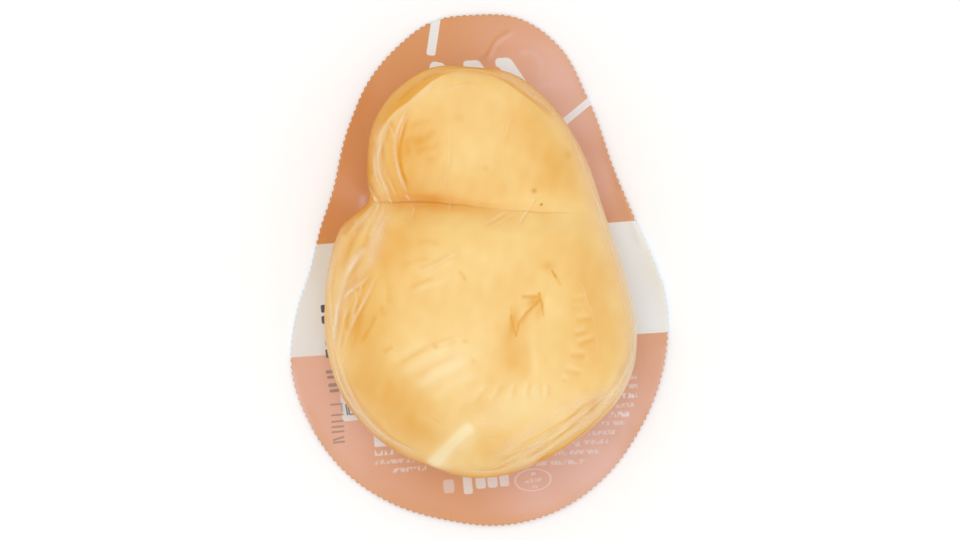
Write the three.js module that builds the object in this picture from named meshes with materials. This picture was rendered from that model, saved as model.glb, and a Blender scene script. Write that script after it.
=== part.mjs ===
// A smoked scamorza in its vacuum pack, lying on the printed film with the cheese side up.
// Units are millimetres. The origin is under the middle of the pack, at its lowest face.
// +X is to the right, +Y towards the cheese's small head and +Z up, out of the cheese side.
import * as THREE from 'three';

// The two films of the pack, welded face to face round the cheese.
const PRINTED_FILM_THICKNESS = 0.4;
const CLEAR_FILM_THICKNESS = 0.3;
const FLANGE_TOP = PRINTED_FILM_THICKNESS + CLEAR_FILM_THICKNESS;

// The pinked cutting line of the pack.
const TOOTH_PITCH = 1.8;
const TOOTH_DEPTH = 0.45;

// Every outline is given round this centre, as [direction in degrees from +X, radius].
const CENTRE = { x: 0, y: -7.8 };

// The pack's cut edge: a pear with a flat, slightly hollow top and a fuller lower left.
const PACK_EDGE = [
  [0, 52.1], [15, 49.5], [30, 49.5], [45, 53.6], [60, 63.9], [70, 73.4], [80, 79.0], [90, 79.2],
  [98, 78.4], [106, 74.1], [115, 68.2], [125, 60.5], [140, 51.3], [155, 48.2], [170, 47.8],
  [185, 51.5], [200, 56.0], [215, 58.7], [230, 61.1], [245, 62.2], [260, 62.6], [275, 63.8],
  [290, 63.3], [305, 61.1], [320, 58.1], [340, 55.0],
];

// The cheese's widest contour: a round body, a head, and the notch of its neck at 136 degrees.
const CHEESE_EDGE = [
  [0, 42.2], [12, 40.9], [24, 40.9], [36, 42.9], [48, 47.4], [60, 53.2], [70, 58.4], [80, 62.7],
  [90, 63.8], [100, 64.9], [110, 61.9], [120, 55.9], [129, 47.4], [136, 40.9], [141, 40.8],
  [146, 41.7], [151, 42.7], [158, 42.6], [168, 42.2], [180, 42.4], [192, 43.5], [204, 44.9],
  [216, 46.5], [228, 47.3], [240, 48.0], [252, 48.1], [264, 49.4], [276, 49.3], [288, 48.2],
  [300, 47.4], [312, 47.4], [324, 47.6], [336, 46.6], [348, 44.4],
];

// How far in from the contour the cheese has risen to its flattened top, by direction.
const SHOULDER_WIDTH = [
  [0, 15], [20, 15], [45, 13], [70, 10], [85, 8], [105, 8], [125, 10], [145, 12], [165, 18],
  [185, 22], [225, 24], [255, 20], [280, 13], [300, 10], [325, 10], [345, 13],
];

// The shoulder's squareness by direction: 2 is a quarter of an ellipse, more is squarer.
const SHOULDER_SQUARENESS = [
  [0, 2.2], [30, 2.1], [60, 2.3], [80, 2.7], [110, 2.7], [130, 2.4], [150, 2.1], [190, 2.0],
  [240, 2.0], [270, 2.2], [300, 2.7], [325, 2.6], [345, 2.3],
];

// Heights above the table.
const BELLY_HEIGHT = 15;
const BODY = { top: 46.5, x: 1, y: -20, halfWidth: 40, halfLength: 36, crownFall: 5 };
const HEAD = { top: 39.5, x: 1, y: 40, halfWidth: 30, halfLength: 28, crownFall: 4 };

// The neck: a groove that runs from the notch on the left and dies out on the right.
const NECK = {
  y: 17.2, lean: 2.3, leanLength: 16, left: -31, right: 34,
  deep: 9, shallow: 1, fadeLength: 14, width: 5.5, creaseWidth: 1.6, stepLength: 14,
};

// The pale diagonal fold at the body's lower end.
const FOLD = { from: [-15.7, -52], to: [-0.9, -41.8], halfWidth: 1.6, rise: 0.8 };

// Under the belly the film tucks in a little and sweeps out to the flange.
const TUCK = 2.4;
const FOOT_HEIGHT = 2.4;
const FOOT_SWEEP = 2.0;

// Facets.
const MERIDIANS = 120;
const RINGS_OUTSIDE_CREASE = 13;
const RINGS_INSIDE_CREASE = 12;
const RINGS_BELOW_BELLY = 5;
const RINGS_IN_FOOT = 3;
const EDGE_SAMPLES = 360;

const radians = (degrees) => degrees * Math.PI / 180;
const clamp01 = (value) => Math.min(1, Math.max(0, value));
const smoothStep = (value) => clamp01(value) ** 2 * (3 - 2 * clamp01(value));

// The value of a closed table of [degrees, value] knots, as a smooth curve through them.
function around(table, degrees) {
  const count = table.length;
  const angle = ((degrees % 360) + 360) % 360;
  const knot = (i) => {
    const turn = Math.floor(i / count);
    const [at, value] = table[i - turn * count];
    return [at + 360 * turn, value];
  };
  const slope = (i) => (knot(i + 1)[1] - knot(i - 1)[1]) / (knot(i + 1)[0] - knot(i - 1)[0]);
  let i = 0;
  while (i + 1 < count && knot(i + 1)[0] <= angle) i += 1;
  const [from, fromValue] = knot(i);
  const [to, toValue] = knot(i + 1);
  const span = to - from;
  const t = (angle - from) / span;
  return (1 + 2 * t) * (1 - t) ** 2 * fromValue + t * (1 - t) ** 2 * span * slope(i)
    + t * t * (3 - 2 * t) * toValue + t * t * (t - 1) * span * slope(i + 1);
}

function pointAt(degrees, radius) {
  return {
    x: CENTRE.x + radius * Math.cos(radians(degrees)),
    y: CENTRE.y + radius * Math.sin(radians(degrees)),
  };
}

// The cheese's contour as short straight pieces.
const contourPieces = Array.from({ length: EDGE_SAMPLES }, (_, i) => {
  const step = 360 / EDGE_SAMPLES;
  const from = pointAt(i * step, around(CHEESE_EDGE, i * step));
  const to = pointAt((i + 1) * step, around(CHEESE_EDGE, (i + 1) * step));
  const dx = to.x - from.x;
  const dy = to.y - from.y;
  return { from, dx, dy, length: Math.hypot(dx, dy) };
});

// Distance to the contour. Close to it this is the true distance. Further in it is a smooth
// one, which has no creases where two edges are equally near.
function distanceToContour(x, y) {
  let nearest = Infinity;
  let sum = 0;
  for (const { from, dx, dy, length } of contourPieces) {
    const px = x - from.x;
    const py = y - from.y;
    const along = clamp01((px * dx + py * dy) / length ** 2);
    nearest = Math.min(nearest, Math.hypot(px - along * dx, py - along * dy));
    sum += length / ((px - dx / 2) ** 2 + (py - dy / 2) ** 2 + 0.01) ** 3;
  }
  const smooth = (3 * Math.PI / 8 / sum) ** (1 / 5);
  const share = smoothStep((nearest - 1) / 5);
  return nearest * (1 - share) + smooth * share;
}

const neckY = (x) => NECK.y - NECK.lean * Math.tanh((x - 1) / NECK.leanLength);

// The flattened top: the body's crown and the lower crown of the head, joined over the neck.
function crownHeight(x, y) {
  const crown = (lobe) => lobe.top - lobe.crownFall
    * (((x - lobe.x) / lobe.halfWidth) ** 2 + ((y - lobe.y) / lobe.halfLength) ** 2);
  const headShare = smoothStep(0.5 + (y - neckY(x)) / NECK.stepLength);
  return crown(BODY) * (1 - headShare) + crown(HEAD) * headShare;
}

function neckDepth(x, y) {
  const away = Math.abs(y - neckY(x));
  const fromRight = clamp01((NECK.right - x) / (NECK.right - NECK.left));
  const deepest = NECK.shallow + (NECK.deep - NECK.shallow) * fromRight ** 1.6;
  const end = smoothStep((NECK.right + 2 - x) / NECK.fadeLength);
  const valley = 0.55 * Math.exp(-((away / NECK.width) ** 2));
  const crease = 0.45 * Math.exp(-away / NECK.creaseWidth);
  return deepest * end * (valley + crease);
}

function foldRise(x, y) {
  const [ax, ay] = FOLD.from;
  const [bx, by] = FOLD.to;
  const length = Math.hypot(bx - ax, by - ay);
  const along = ((x - ax) * (bx - ax) + (y - ay) * (by - ay)) / length;
  const across = ((x - ax) * (by - ay) - (y - ay) * (bx - ax)) / length;
  const ends = smoothStep(along / 5 + 0.5) * smoothStep((length - along) / 8 + 0.5);
  return FOLD.rise * ends * Math.exp(-((across / FOLD.halfWidth) ** 2));
}

// Height of the film over the cheese at a point inside the contour.
function cheeseHeight(x, y, degrees) {
  const inward = clamp01(distanceToContour(x, y) / around(SHOULDER_WIDTH, degrees));
  const power = around(SHOULDER_SQUARENESS, degrees);
  const risen = (1 - (1 - inward) ** power) ** (1 / power);
  const top = crownHeight(x, y) - neckDepth(x, y) + foldRise(x, y);
  return BELLY_HEIGHT + (top - BELLY_HEIGHT) * risen;
}

// Where a line from the centre crosses the neck's crease, as a share of the contour's radius.
// In the directions that miss the crease it eases back to RING_REST.
const RING_REST = 0.6;
const CREASE_SPAN = { from: 34, to: 137, ease: 50 };

function creaseShare(degrees) {
  const turned = ((degrees % 360) + 360) % 360;
  const held = Math.min(CREASE_SPAN.to, Math.max(CREASE_SPAN.from, turned));
  let radius = 25;
  for (let i = 0; i < 30; i += 1) {
    const p = pointAt(held, radius);
    radius = (neckY(p.x) - CENTRE.y) / Math.sin(radians(held));
  }
  const share = radius / around(CHEESE_EDGE, held);
  const past = Math.min(Math.abs(turned - held), Math.abs(turned - 360 - held));
  return share + (RING_REST - share) * smoothStep(past / CREASE_SPAN.ease);
}

// The pinked cutting line: a zigzag of whole teeth on the pack's edge.
function pinkedEdge() {
  const samples = 2000;
  const line = Array.from({ length: samples + 1 }, (_, i) => {
    const degrees = i * 360 / samples;
    return pointAt(degrees, around(PACK_EDGE, degrees));
  });
  const lengths = [0];
  for (let i = 1; i <= samples; i += 1) {
    lengths.push(lengths[i - 1] + Math.hypot(line[i].x - line[i - 1].x, line[i].y - line[i - 1].y));
  }
  const perimeter = lengths[samples];
  const teeth = Math.round(perimeter / TOOTH_PITCH);
  const corners = [];
  let i = 0;
  for (let k = 0; k < 2 * teeth; k += 1) {
    const along = k * perimeter / (2 * teeth);
    while (lengths[i + 1] <= along) i += 1;
    const t = (along - lengths[i]) / (lengths[i + 1] - lengths[i]);
    const dx = line[i + 1].x - line[i].x;
    const dy = line[i + 1].y - line[i].y;
    const reach = (k % 2 === 0 ? 0.5 : -0.5) * TOOTH_DEPTH / Math.hypot(dx, dy);
    corners.push(new THREE.Vector2(
      line[i].x + dx * t + dy * reach,
      line[i].y + dy * t - dx * reach,
    ));
  }
  return corners;
}

// Collects corners and facets of one closed surface.
class Surface {
  constructor() {
    this.corners = [];
    this.facets = [];
  }

  ring(points, z) {
    const first = this.corners.length / 3;
    points.forEach((p) => this.corners.push(p.x, p.y, p.z ?? z));
    return points.map((_, i) => first + i);
  }

  // A band of facets between two rings with the same count, outward when `upper` is above.
  band(lower, upper) {
    const n = lower.length;
    for (let i = 0; i < n; i += 1) {
      const j = (i + 1) % n;
      this.facets.push(lower[i], lower[j], upper[j], lower[i], upper[j], upper[i]);
    }
  }

  // A flat face inside `outer`, round `hole` if there is one, facing up or down.
  face(outer, outerPoints, up, hole = [], holePoints = []) {
    const ids = [...outer, ...hole];
    const holes = hole.length ? [holePoints] : [];
    THREE.ShapeUtils.triangulateShape(outerPoints, holes).forEach(([a, b, c]) => {
      const turn = this.turn(ids[a], ids[b], ids[c]);
      const kept = (turn > 0) === up ? [a, b, c] : [a, c, b];
      this.facets.push(...kept.map((i) => ids[i]));
    });
  }

  turn(a, b, c) {
    const at = (i) => [this.corners[3 * i], this.corners[3 * i + 1]];
    const [[ax, ay], [bx, by], [cx, cy]] = [at(a), at(b), at(c)];
    return (bx - ax) * (cy - ay) - (by - ay) * (cx - ax);
  }

  fan(ringIds, tip) {
    const n = ringIds.length;
    for (let i = 0; i < n; i += 1) this.facets.push(ringIds[i], ringIds[(i + 1) % n], tip);
  }

  geometry() {
    const made = new THREE.BufferGeometry();
    made.setAttribute('position', new THREE.Float32BufferAttribute(this.corners, 3));
    made.setIndex(this.facets);
    made.computeVertexNormals();
    return made;
  }
}

// The printed film: a flat sheet with the pinked edge.
function printedFilm(edge) {
  const sheet = new Surface();
  const bottom = sheet.ring(edge, 0);
  const top = sheet.ring(edge, PRINTED_FILM_THICKNESS);
  sheet.face(bottom, edge, false);
  sheet.band(bottom, top);
  sheet.face(top, edge, true);
  return sheet.geometry();
}

// One ring of the tuck and the foot, `inset` inside the cheese's widest contour.
function contourRing(inset) {
  return Array.from({ length: MERIDIANS }, (_, i) => {
    const degrees = i * 360 / MERIDIANS;
    return pointAt(degrees, around(CHEESE_EDGE, degrees) - inset);
  });
}

// The radius of ring k, counted inwards from the contour, as a share of the contour's radius.
function ringShare(k, degrees) {
  const crease = creaseShare(degrees);
  if (k <= RINGS_OUTSIDE_CREASE) return 1 - (1 - crease) * (k / RINGS_OUTSIDE_CREASE) ** 2;
  return crease * (1 - ((k - RINGS_OUTSIDE_CREASE) / RINGS_INSIDE_CREASE) ** 1.4);
}

// The clear film over the cheese, closed below by the flange's underside.
function cheeseInClearFilm(edge) {
  const pack = new Surface();
  const bottom = pack.ring(edge, PRINTED_FILM_THICKNESS);
  const flangeEdge = pack.ring(edge, FLANGE_TOP);
  pack.face(bottom, edge, false);
  pack.band(bottom, flangeEdge);

  // The foot sweeps up from the flange as a quarter of an ellipse.
  const footStart = contourRing(TUCK - FOOT_SWEEP);
  let below = pack.ring(footStart, FLANGE_TOP);
  const holePoints = footStart.map((p) => new THREE.Vector2(p.x, p.y));
  pack.face(flangeEdge, edge, true, below, holePoints);
  for (let k = 1; k <= RINGS_IN_FOOT; k += 1) {
    const turn = radians(90 * k / RINGS_IN_FOOT);
    const inset = TUCK - FOOT_SWEEP * (1 - Math.sin(turn));
    const ring = pack.ring(contourRing(inset), FLANGE_TOP + FOOT_HEIGHT * (1 - Math.cos(turn)));
    pack.band(below, ring);
    below = ring;
  }

  // The underside of the belly.
  const footTop = FLANGE_TOP + FOOT_HEIGHT;
  for (let k = 1; k <= RINGS_BELOW_BELLY; k += 1) {
    const risen = k / RINGS_BELOW_BELLY;
    const z = footTop + (BELLY_HEIGHT - footTop) * risen;
    const ring = pack.ring(contourRing(TUCK * (1 - smoothStep(risen))), z);
    pack.band(below, ring);
    below = ring;
  }

  // From the widest contour up to the flattened top. One ring follows the neck's crease.
  for (let k = 1; k < RINGS_OUTSIDE_CREASE + RINGS_INSIDE_CREASE; k += 1) {
    const points = Array.from({ length: MERIDIANS }, (_, i) => {
      const degrees = i * 360 / MERIDIANS;
      const p = pointAt(degrees, around(CHEESE_EDGE, degrees) * ringShare(k, degrees));
      return { ...p, z: cheeseHeight(p.x, p.y, degrees) };
    });
    const ring = pack.ring(points);
    pack.band(below, ring);
    below = ring;
  }
  const tipHeight = crownHeight(CENTRE.x, CENTRE.y) - neckDepth(CENTRE.x, CENTRE.y);
  const [tip] = pack.ring([CENTRE], tipHeight);
  pack.fan(below, tip);
  return pack.geometry();
}

function node(name, geometry, color, roughness) {
  const material = new THREE.MeshStandardMaterial({ color, roughness, metalness: 0 });
  material.name = name;
  const mesh = new THREE.Mesh(geometry, material);
  mesh.name = name;
  return mesh;
}

const edge = pinkedEdge();
const scamorza = new THREE.Group();
scamorza.name = 'smoked_scamorza_pack';
scamorza.add(node('printed_film', printedFilm(edge), 0xd99f76, 0.35));
scamorza.add(node('cheese_in_clear_film', cheeseInClearFilm(edge), 0xf8cf8b, 0.25));

export default scamorza;
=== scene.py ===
"""A smoked scamorza in its vacuum pack, lying on the printed film with the cheese side up.

Sizes in the tables are in millimetres; meshes are made in metres. +Y points towards the
cheese's small head, +X to the right and +Z up, as in the CAD model.
"""

import math

import bpy
import numpy as np
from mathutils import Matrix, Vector


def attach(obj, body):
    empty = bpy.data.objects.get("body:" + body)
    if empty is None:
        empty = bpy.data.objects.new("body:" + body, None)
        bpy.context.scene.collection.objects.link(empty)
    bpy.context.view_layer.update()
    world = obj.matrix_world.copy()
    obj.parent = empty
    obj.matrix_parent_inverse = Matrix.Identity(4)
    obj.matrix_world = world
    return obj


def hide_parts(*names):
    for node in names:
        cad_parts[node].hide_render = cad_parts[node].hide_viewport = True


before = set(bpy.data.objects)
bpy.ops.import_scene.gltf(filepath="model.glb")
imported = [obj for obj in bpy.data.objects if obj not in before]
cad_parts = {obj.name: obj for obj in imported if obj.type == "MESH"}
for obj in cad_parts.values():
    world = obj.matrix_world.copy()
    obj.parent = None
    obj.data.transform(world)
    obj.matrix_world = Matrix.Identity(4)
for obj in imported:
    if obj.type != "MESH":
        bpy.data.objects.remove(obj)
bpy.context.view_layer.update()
SEED = 7

# The CAD model's named sizes.
PRINTED_FILM_THICKNESS = 0.4
CLEAR_FILM_THICKNESS = 0.3
FLANGE_TOP = PRINTED_FILM_THICKNESS + CLEAR_FILM_THICKNESS
TOOTH_PITCH = 1.8
TOOTH_DEPTH = 0.45
EDGE_STEPS = 4000
CENTRE = np.array([0.0, -7.8])
PACK_EDGE = [
    (0, 52.1), (15, 49.5), (30, 49.5), (45, 53.6), (60, 63.9), (70, 73.4), (80, 79.0), (90, 79.2),
    (98, 78.4), (106, 74.1), (115, 68.2), (125, 60.5), (140, 51.3), (155, 48.2), (170, 47.8),
    (185, 51.5), (200, 56.0), (215, 58.7), (230, 61.1), (245, 62.2), (260, 62.6), (275, 63.8),
    (290, 63.3), (305, 61.1), (320, 58.1), (340, 55.0),
]
CHEESE_EDGE = [
    (0, 42.2), (12, 40.9), (24, 40.9), (36, 42.9), (48, 47.4), (60, 53.2), (70, 58.4), (80, 62.7),
    (90, 63.8), (100, 64.9), (110, 61.9), (120, 55.9), (129, 47.4), (136, 40.9), (141, 40.8),
    (146, 41.7), (151, 42.7), (158, 42.6), (168, 42.2), (180, 42.4), (192, 43.5), (204, 44.9),
    (216, 46.5), (228, 47.3), (240, 48.0), (252, 48.1), (264, 49.4), (276, 49.3), (288, 48.2),
    (300, 47.4), (312, 47.4), (324, 47.6), (336, 46.6), (348, 44.4),
]
SHOULDER_WIDTH = [
    (0, 15), (20, 15), (45, 13), (70, 10), (85, 8), (105, 8), (125, 10), (145, 12), (165, 18),
    (185, 22), (225, 24), (255, 20), (280, 13), (300, 10), (325, 10), (345, 13),
]
SHOULDER_SQUARENESS = [
    (0, 2.2), (30, 2.1), (60, 2.3), (80, 2.7), (110, 2.7), (130, 2.4), (150, 2.1), (190, 2.0),
    (240, 2.0), (270, 2.2), (300, 2.7), (325, 2.6), (345, 2.3),
]
BELLY_HEIGHT = 15.0
BODY = dict(top=46.5, x=1.0, y=-20.0, half_width=40.0, half_length=36.0, crown_fall=5.0)
HEAD = dict(top=39.5, x=1.0, y=40.0, half_width=30.0, half_length=28.0, crown_fall=4.0)
NECK = dict(
    x=1.0, y=17.2, lean=2.3, lean_length=16.0, left=-31.0, right=34.0, overrun=2.0,
    deep=9.0, shallow=1.0, growth=1.6, fade_length=14.0, width=5.5, crease_width=1.6,
    rounding=0.4, step_length=14.0,
)
FOLD = dict(
    start=(-15.7, -52.0), end=(-0.9, -41.8), start_fade=5.0, end_fade=8.0, half_width=1.6, rise=0.8,
)
TUCK = 2.4
FOOT_HEIGHT = 2.4
FOOT_SWEEP = 2.0
FOOT_INSET = TUCK - FOOT_SWEEP


# Curves and heights, as in the CAD model.

def smooth_step(value):
    t = np.clip(value, 0.0, 1.0)
    return t * t * (3 - 2 * t)


def bell(value, half_width):
    """1 where the value is 0, falling off smoothly to both sides."""
    return np.exp(-((value / half_width) ** 2))


def between(t, span, start, end, start_slope, end_slope):
    """The smooth curve between two knots that are `span` apart, at the share t of the way."""
    first = (1 + 2 * t) * (1 - t) ** 2 * start + t * (1 - t) ** 2 * span * start_slope
    last = t * t * (3 - 2 * t) * end + t * t * (t - 1) * span * end_slope
    return first + last


def around(table, degrees):
    """The smooth closed curve through the (degrees, value) knots of a table."""
    at, value = np.array(table, float).T
    at = np.r_[at[-2:] - 360, at, at[:3] + 360]
    value = np.r_[value[-2:], value, value[:3]]
    slope = np.zeros_like(value)
    slope[1:-1] = (value[2:] - value[:-2]) / (at[2:] - at[:-2])
    degrees = np.asarray(degrees, float) % 360
    i = np.clip(np.searchsorted(at, degrees, "right") - 1, 1, len(at) - 3)
    span = at[i + 1] - at[i]
    return between((degrees - at[i]) / span, span, value[i], value[i + 1], slope[i], slope[i + 1])


def point_at(degrees, radius):
    turn = np.radians(degrees)
    return CENTRE[0] + radius * np.cos(turn), CENTRE[1] + radius * np.sin(turn)


def degrees_of(x, y):
    return np.degrees(np.arctan2(y - CENTRE[1], x - CENTRE[0])) % 360


def contour_distance(x, y):
    """Distance to the cheese's widest contour: true close to it, smooth further in."""
    turn = np.arange(0, 361, 1.0)
    ax, ay = point_at(turn, around(CHEESE_EDGE, turn))
    dx, dy = np.diff(ax), np.diff(ay)
    length = np.hypot(dx, dy)
    flat_x, flat_y = np.ravel(x), np.ravel(y)
    out = np.empty(flat_x.size)
    chunk = 20000
    for first in range(0, flat_x.size, chunk):
        px = flat_x[first:first + chunk, None] - ax[:-1]
        py = flat_y[first:first + chunk, None] - ay[:-1]
        along = np.clip((px * dx + py * dy) / length ** 2, 0, 1)
        nearest = np.sqrt(((px - along * dx) ** 2 + (py - along * dy) ** 2).min(1))
        square = (px - dx / 2) ** 2 + (py - dy / 2) ** 2 + 0.01
        smooth = (3 * np.pi / 8 / (length / square ** 3).sum(1)) ** 0.2
        share = smooth_step((nearest - 1) / 5)
        out[first:first + chunk] = nearest * (1 - share) + smooth * share
    return out.reshape(np.shape(x))


def neck_y(x):
    return NECK["y"] - NECK["lean"] * np.tanh((x - NECK["x"]) / NECK["lean_length"])


def crown_height(x, y):
    def crown(lobe):
        across = (x - lobe["x"]) / lobe["half_width"]
        along = (y - lobe["y"]) / lobe["half_length"]
        return lobe["top"] - lobe["crown_fall"] * (across ** 2 + along ** 2)

    head_share = smooth_step(0.5 + (y - neck_y(x)) / NECK["step_length"])
    return crown(BODY) * (1 - head_share) + crown(HEAD) * head_share


def neck_depth(x, y, crease_share):
    away = np.abs(y - neck_y(x))
    from_right = np.clip((NECK["right"] - x) / (NECK["right"] - NECK["left"]), 0, 1)
    deepest = NECK["shallow"] + (NECK["deep"] - NECK["shallow"]) * from_right ** NECK["growth"]
    end = smooth_step((NECK["right"] + NECK["overrun"] - x) / NECK["fade_length"])
    valley = (1 - crease_share) * bell(away, NECK["width"])
    rounded = np.sqrt(away ** 2 + NECK["rounding"] ** 2) - NECK["rounding"]
    crease = crease_share * np.exp(-rounded / NECK["crease_width"])
    return deepest * end * (valley + crease)


def turned(x, y, middle, turn):
    """Places measured from `middle`, along and across a direction in degrees."""
    c, s = math.cos(math.radians(turn)), math.sin(math.radians(turn))
    dx, dy = x - middle[0], y - middle[1]
    return dx * c + dy * s, dy * c - dx * s


def straight(start, end):
    """The middle, length and direction in degrees of a straight line."""
    run, rise = end[0] - start[0], end[1] - start[1]
    middle = ((start[0] + end[0]) / 2, (start[1] + end[1]) / 2)
    return middle, math.hypot(run, rise), math.degrees(math.atan2(rise, run))


def fold_rise(x, y):
    _, length, turn = straight(FOLD["start"], FOLD["end"])
    along, across = turned(x, y, FOLD["start"], turn)
    ends = smooth_step(along / FOLD["start_fade"] + 0.5)
    ends = ends * smooth_step((length - along) / FOLD["end_fade"] + 0.5)
    return FOLD["rise"] * ends * bell(across, FOLD["half_width"])


def pinked_edge():
    """Polar directions and radii of the pinked edge, with four corners to a tooth."""
    turn = np.linspace(0, 360, EDGE_STEPS + 1)
    x, y = point_at(turn, around(PACK_EDGE, turn))
    length = np.r_[0, np.cumsum(np.hypot(np.diff(x), np.diff(y)))]
    corners = 4 * round(length[-1] / TOOTH_PITCH)
    along = np.arange(corners) * length[-1] / corners
    px = np.interp(along, length, x)
    py = np.interp(along, length, y)
    step = length[-1] / EDGE_STEPS
    dx = np.interp(along + step, length, x, period=length[-1]) - px
    dy = np.interp(along + step, length, y, period=length[-1]) - py
    wave = np.cos(np.arange(corners) * np.pi / 2)
    reach = 0.5 * TOOTH_DEPTH * wave / np.hypot(dx, dy)
    px, py = px + dy * reach, py - dx * reach
    return degrees_of(px, py), np.hypot(px - CENTRE[0], py - CENTRE[1])


# Lines drawn on the surface, seen from above.

PATH_POINTS = 24
CREASE_REACH = 1.2
CREASE_GROUPS = 8
# What stands for a distance so far from a line that nothing of it shows.
FAR = 4.0


def smooth_path(path):
    """A rounded line through the points of a short path."""
    points = np.array(path, float)
    if len(points) < 3:
        return points
    at = np.r_[0, np.cumsum(np.hypot(*np.diff(points, axis=0).T))]
    tangent = np.gradient(points, at, axis=0)
    where = np.linspace(0, at[-1], PATH_POINTS)
    i = np.clip(np.searchsorted(at, where, "right") - 1, 0, len(at) - 2)
    span = (at[i + 1] - at[i])[:, None]
    t = (where - at[i])[:, None] / span
    return between(t, span, points[i], points[i + 1], tangent[i], tangent[i + 1])


def beside_path(x, y, path, reach):
    """Points within reach of a rounded line: which they are, how far to its left, how far along."""
    points = smooth_path(path)
    low, high = points.min(0) - reach, points.max(0) + reach
    near = (x > low[0]) & (x < high[0]) & (y > low[1]) & (y < high[1])
    px, py = x[near], y[near]
    pieces = np.hypot(*np.diff(points, axis=0).T)
    best = np.full(px.shape, np.inf)
    signed = np.full(px.shape, np.inf)
    along = np.zeros(px.shape)
    done = 0.0
    for (ax, ay), (bx, by), piece in zip(points[:-1], points[1:], pieces):
        dx, dy = bx - ax, by - ay
        t = np.clip(((px - ax) * dx + (py - ay) * dy) / piece ** 2, 0, 1)
        away = np.hypot(px - ax - t * dx, py - ay - t * dy)
        side = np.where(dx * (py - ay) - dy * (px - ax) < 0, -1, 1)
        closer = away < best
        best = np.where(closer, away, best)
        signed = np.where(closer, side * away, signed)
        along = np.where(closer, done + t * piece, along)
        done += piece
    return near, signed, along / done


def beside(path, reach):
    """The path moved to its left by reach."""
    points = np.array(path, float)
    run = np.gradient(points, axis=0)
    run = run / np.hypot(*run.T)[:, None]
    return points + reach * np.stack([-run[:, 1], run[:, 0]], -1)


def stroke(x, y, path, half_width, fade=5):
    """1 on the line, falling to 0 away from it and towards its two ends."""
    near, signed, share = beside_path(x, y, path, 3 * half_width)
    ends = smooth_step(share * fade) * smooth_step((1 - share) * fade)
    total = np.zeros(np.shape(x))
    total[near] = ends * bell(signed, half_width)
    return total


def strokes(x, y, table):
    """The sum of a table of strokes: path, half width, strength."""
    return sum(strength * stroke(x, y, path, half_width) for path, half_width, strength in table)


def spots(x, y, table):
    """The sum of a table of soft ovals: middle, half sizes, turn in degrees, strength."""
    total = np.zeros(np.shape(x))
    for middle, size, turn, strength in table:
        along, across = turned(x, y, middle, turn)
        total += strength * bell(along, size[0]) * bell(across, size[1])
    return total


def slow_waves(x, y, seed, size):
    """Smooth random waves between about -1 and 1, with the given size in millimetres."""
    draw = np.random.default_rng(seed)
    total = np.zeros(np.shape(x))
    for _ in range(9):
        turn = draw.uniform(0, 2 * np.pi)
        wave = size * draw.uniform(0.7, 1.5)
        phase = draw.uniform(0, 2 * np.pi)
        total += np.sin((x * np.cos(turn) + y * np.sin(turn)) * 2 * np.pi / wave + phase)
    return total / 4


LATTICE = 64


def smooth_noise(u, v, seed):
    """Smooth random values from -1 to 1, with one draw at each whole number."""
    lattice = np.random.default_rng(seed).uniform(-1, 1, (LATTICE, LATTICE))
    i, j = np.floor(u).astype(int), np.floor(v).astype(int)
    a, b = smooth_step(u - i), smooth_step(v - j)

    def at(right, up):
        return lattice[(i + right) % LATTICE, (j + up) % LATTICE]

    lower = at(0, 0) * (1 - a) + at(1, 0) * a
    upper = at(0, 1) * (1 - a) + at(1, 1) * a
    return lower * (1 - b) + upper * b


# Crisp creases of the clear film over the cheese: path, half width, strength.
HEAD_CREASES = [
    ([(-17.3, 45.2), (-19.9, 40.1), (-21.1, 36.9), (-21.5, 33.2), (-21.0, 29.4), (-20.1, 25.6),
      (-18.8, 22.3), (-17.8, 19.6)], 0.46, 1.0),
    ([(-16.4, 44.6), (-18.9, 40.0), (-20.1, 36.4), (-20.6, 33.2)], 0.28, 0.6),
    ([(-22.9, 40.3), (-21.9, 38.1), (-21.4, 35.9)], 0.26, 0.7),
    ([(-24.7, 36.6), (-25.6, 33.4), (-26.0, 30.1), (-25.3, 25.8), (-23.8, 22.0), (-22.8, 18.7)],
     0.42, 0.85),
    ([(-26.7, 34.6), (-27.1, 31.3), (-26.9, 28.1), (-25.7, 23.7), (-23.4, 19.3)], 0.3, 0.6),
    ([(-29.4, 25.1), (-28.3, 22.3), (-27.0, 20.0), (-26.4, 18.9)], 0.34, 0.9),
    ([(-24.2, 30.4), (-23.6, 26.6), (-22.2, 22.4), (-20.9, 19.6)], 0.28, 0.5),
    ([(-6.6, 40.8), (-6.6, 35.4), (-6.9, 29.5), (-7.9, 24.7), (-8.8, 21.0), (-9.2, 18.3)], 0.3, 0.35),
    ([(11.0, 43.6), (9.0, 37.7), (7.7, 32.3), (7.9, 28.0), (9.4, 22.6), (10.9, 19.3)], 0.3, 0.25),
    ([(-8.9, 48.2), (-5.6, 49.4), (-1.2, 50.1), (2.0, 49.8), (3.0, 48.9)], 0.3, 0.5),
    ([(25.2, 38.9), (28.3, 31.1), (30.8, 23.4), (33.5, 16.8), (35.6, 12.4)], 0.35, 0.4),
    ([(-17.2, 45.8), (-15.7, 47.3), (-14.2, 48.4), (-11.2, 50.5), (-9.3, 52.2)], 0.34, 0.6),
    ([(-8.5, 53.1), (-6.3, 53.8), (-3.3, 54.1), (-0.4, 54.2), (3.4, 53.5), (6.3, 52.5), (9.2, 51.0),
      (11.2, 49.8)], 0.3, 0.5),
    ([(12.3, 49.5), (13.9, 48.3), (15.5, 46.9), (17.9, 45.3), (20.8, 42.9), (22.7, 40.7)], 0.34, 0.6),
]
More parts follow.
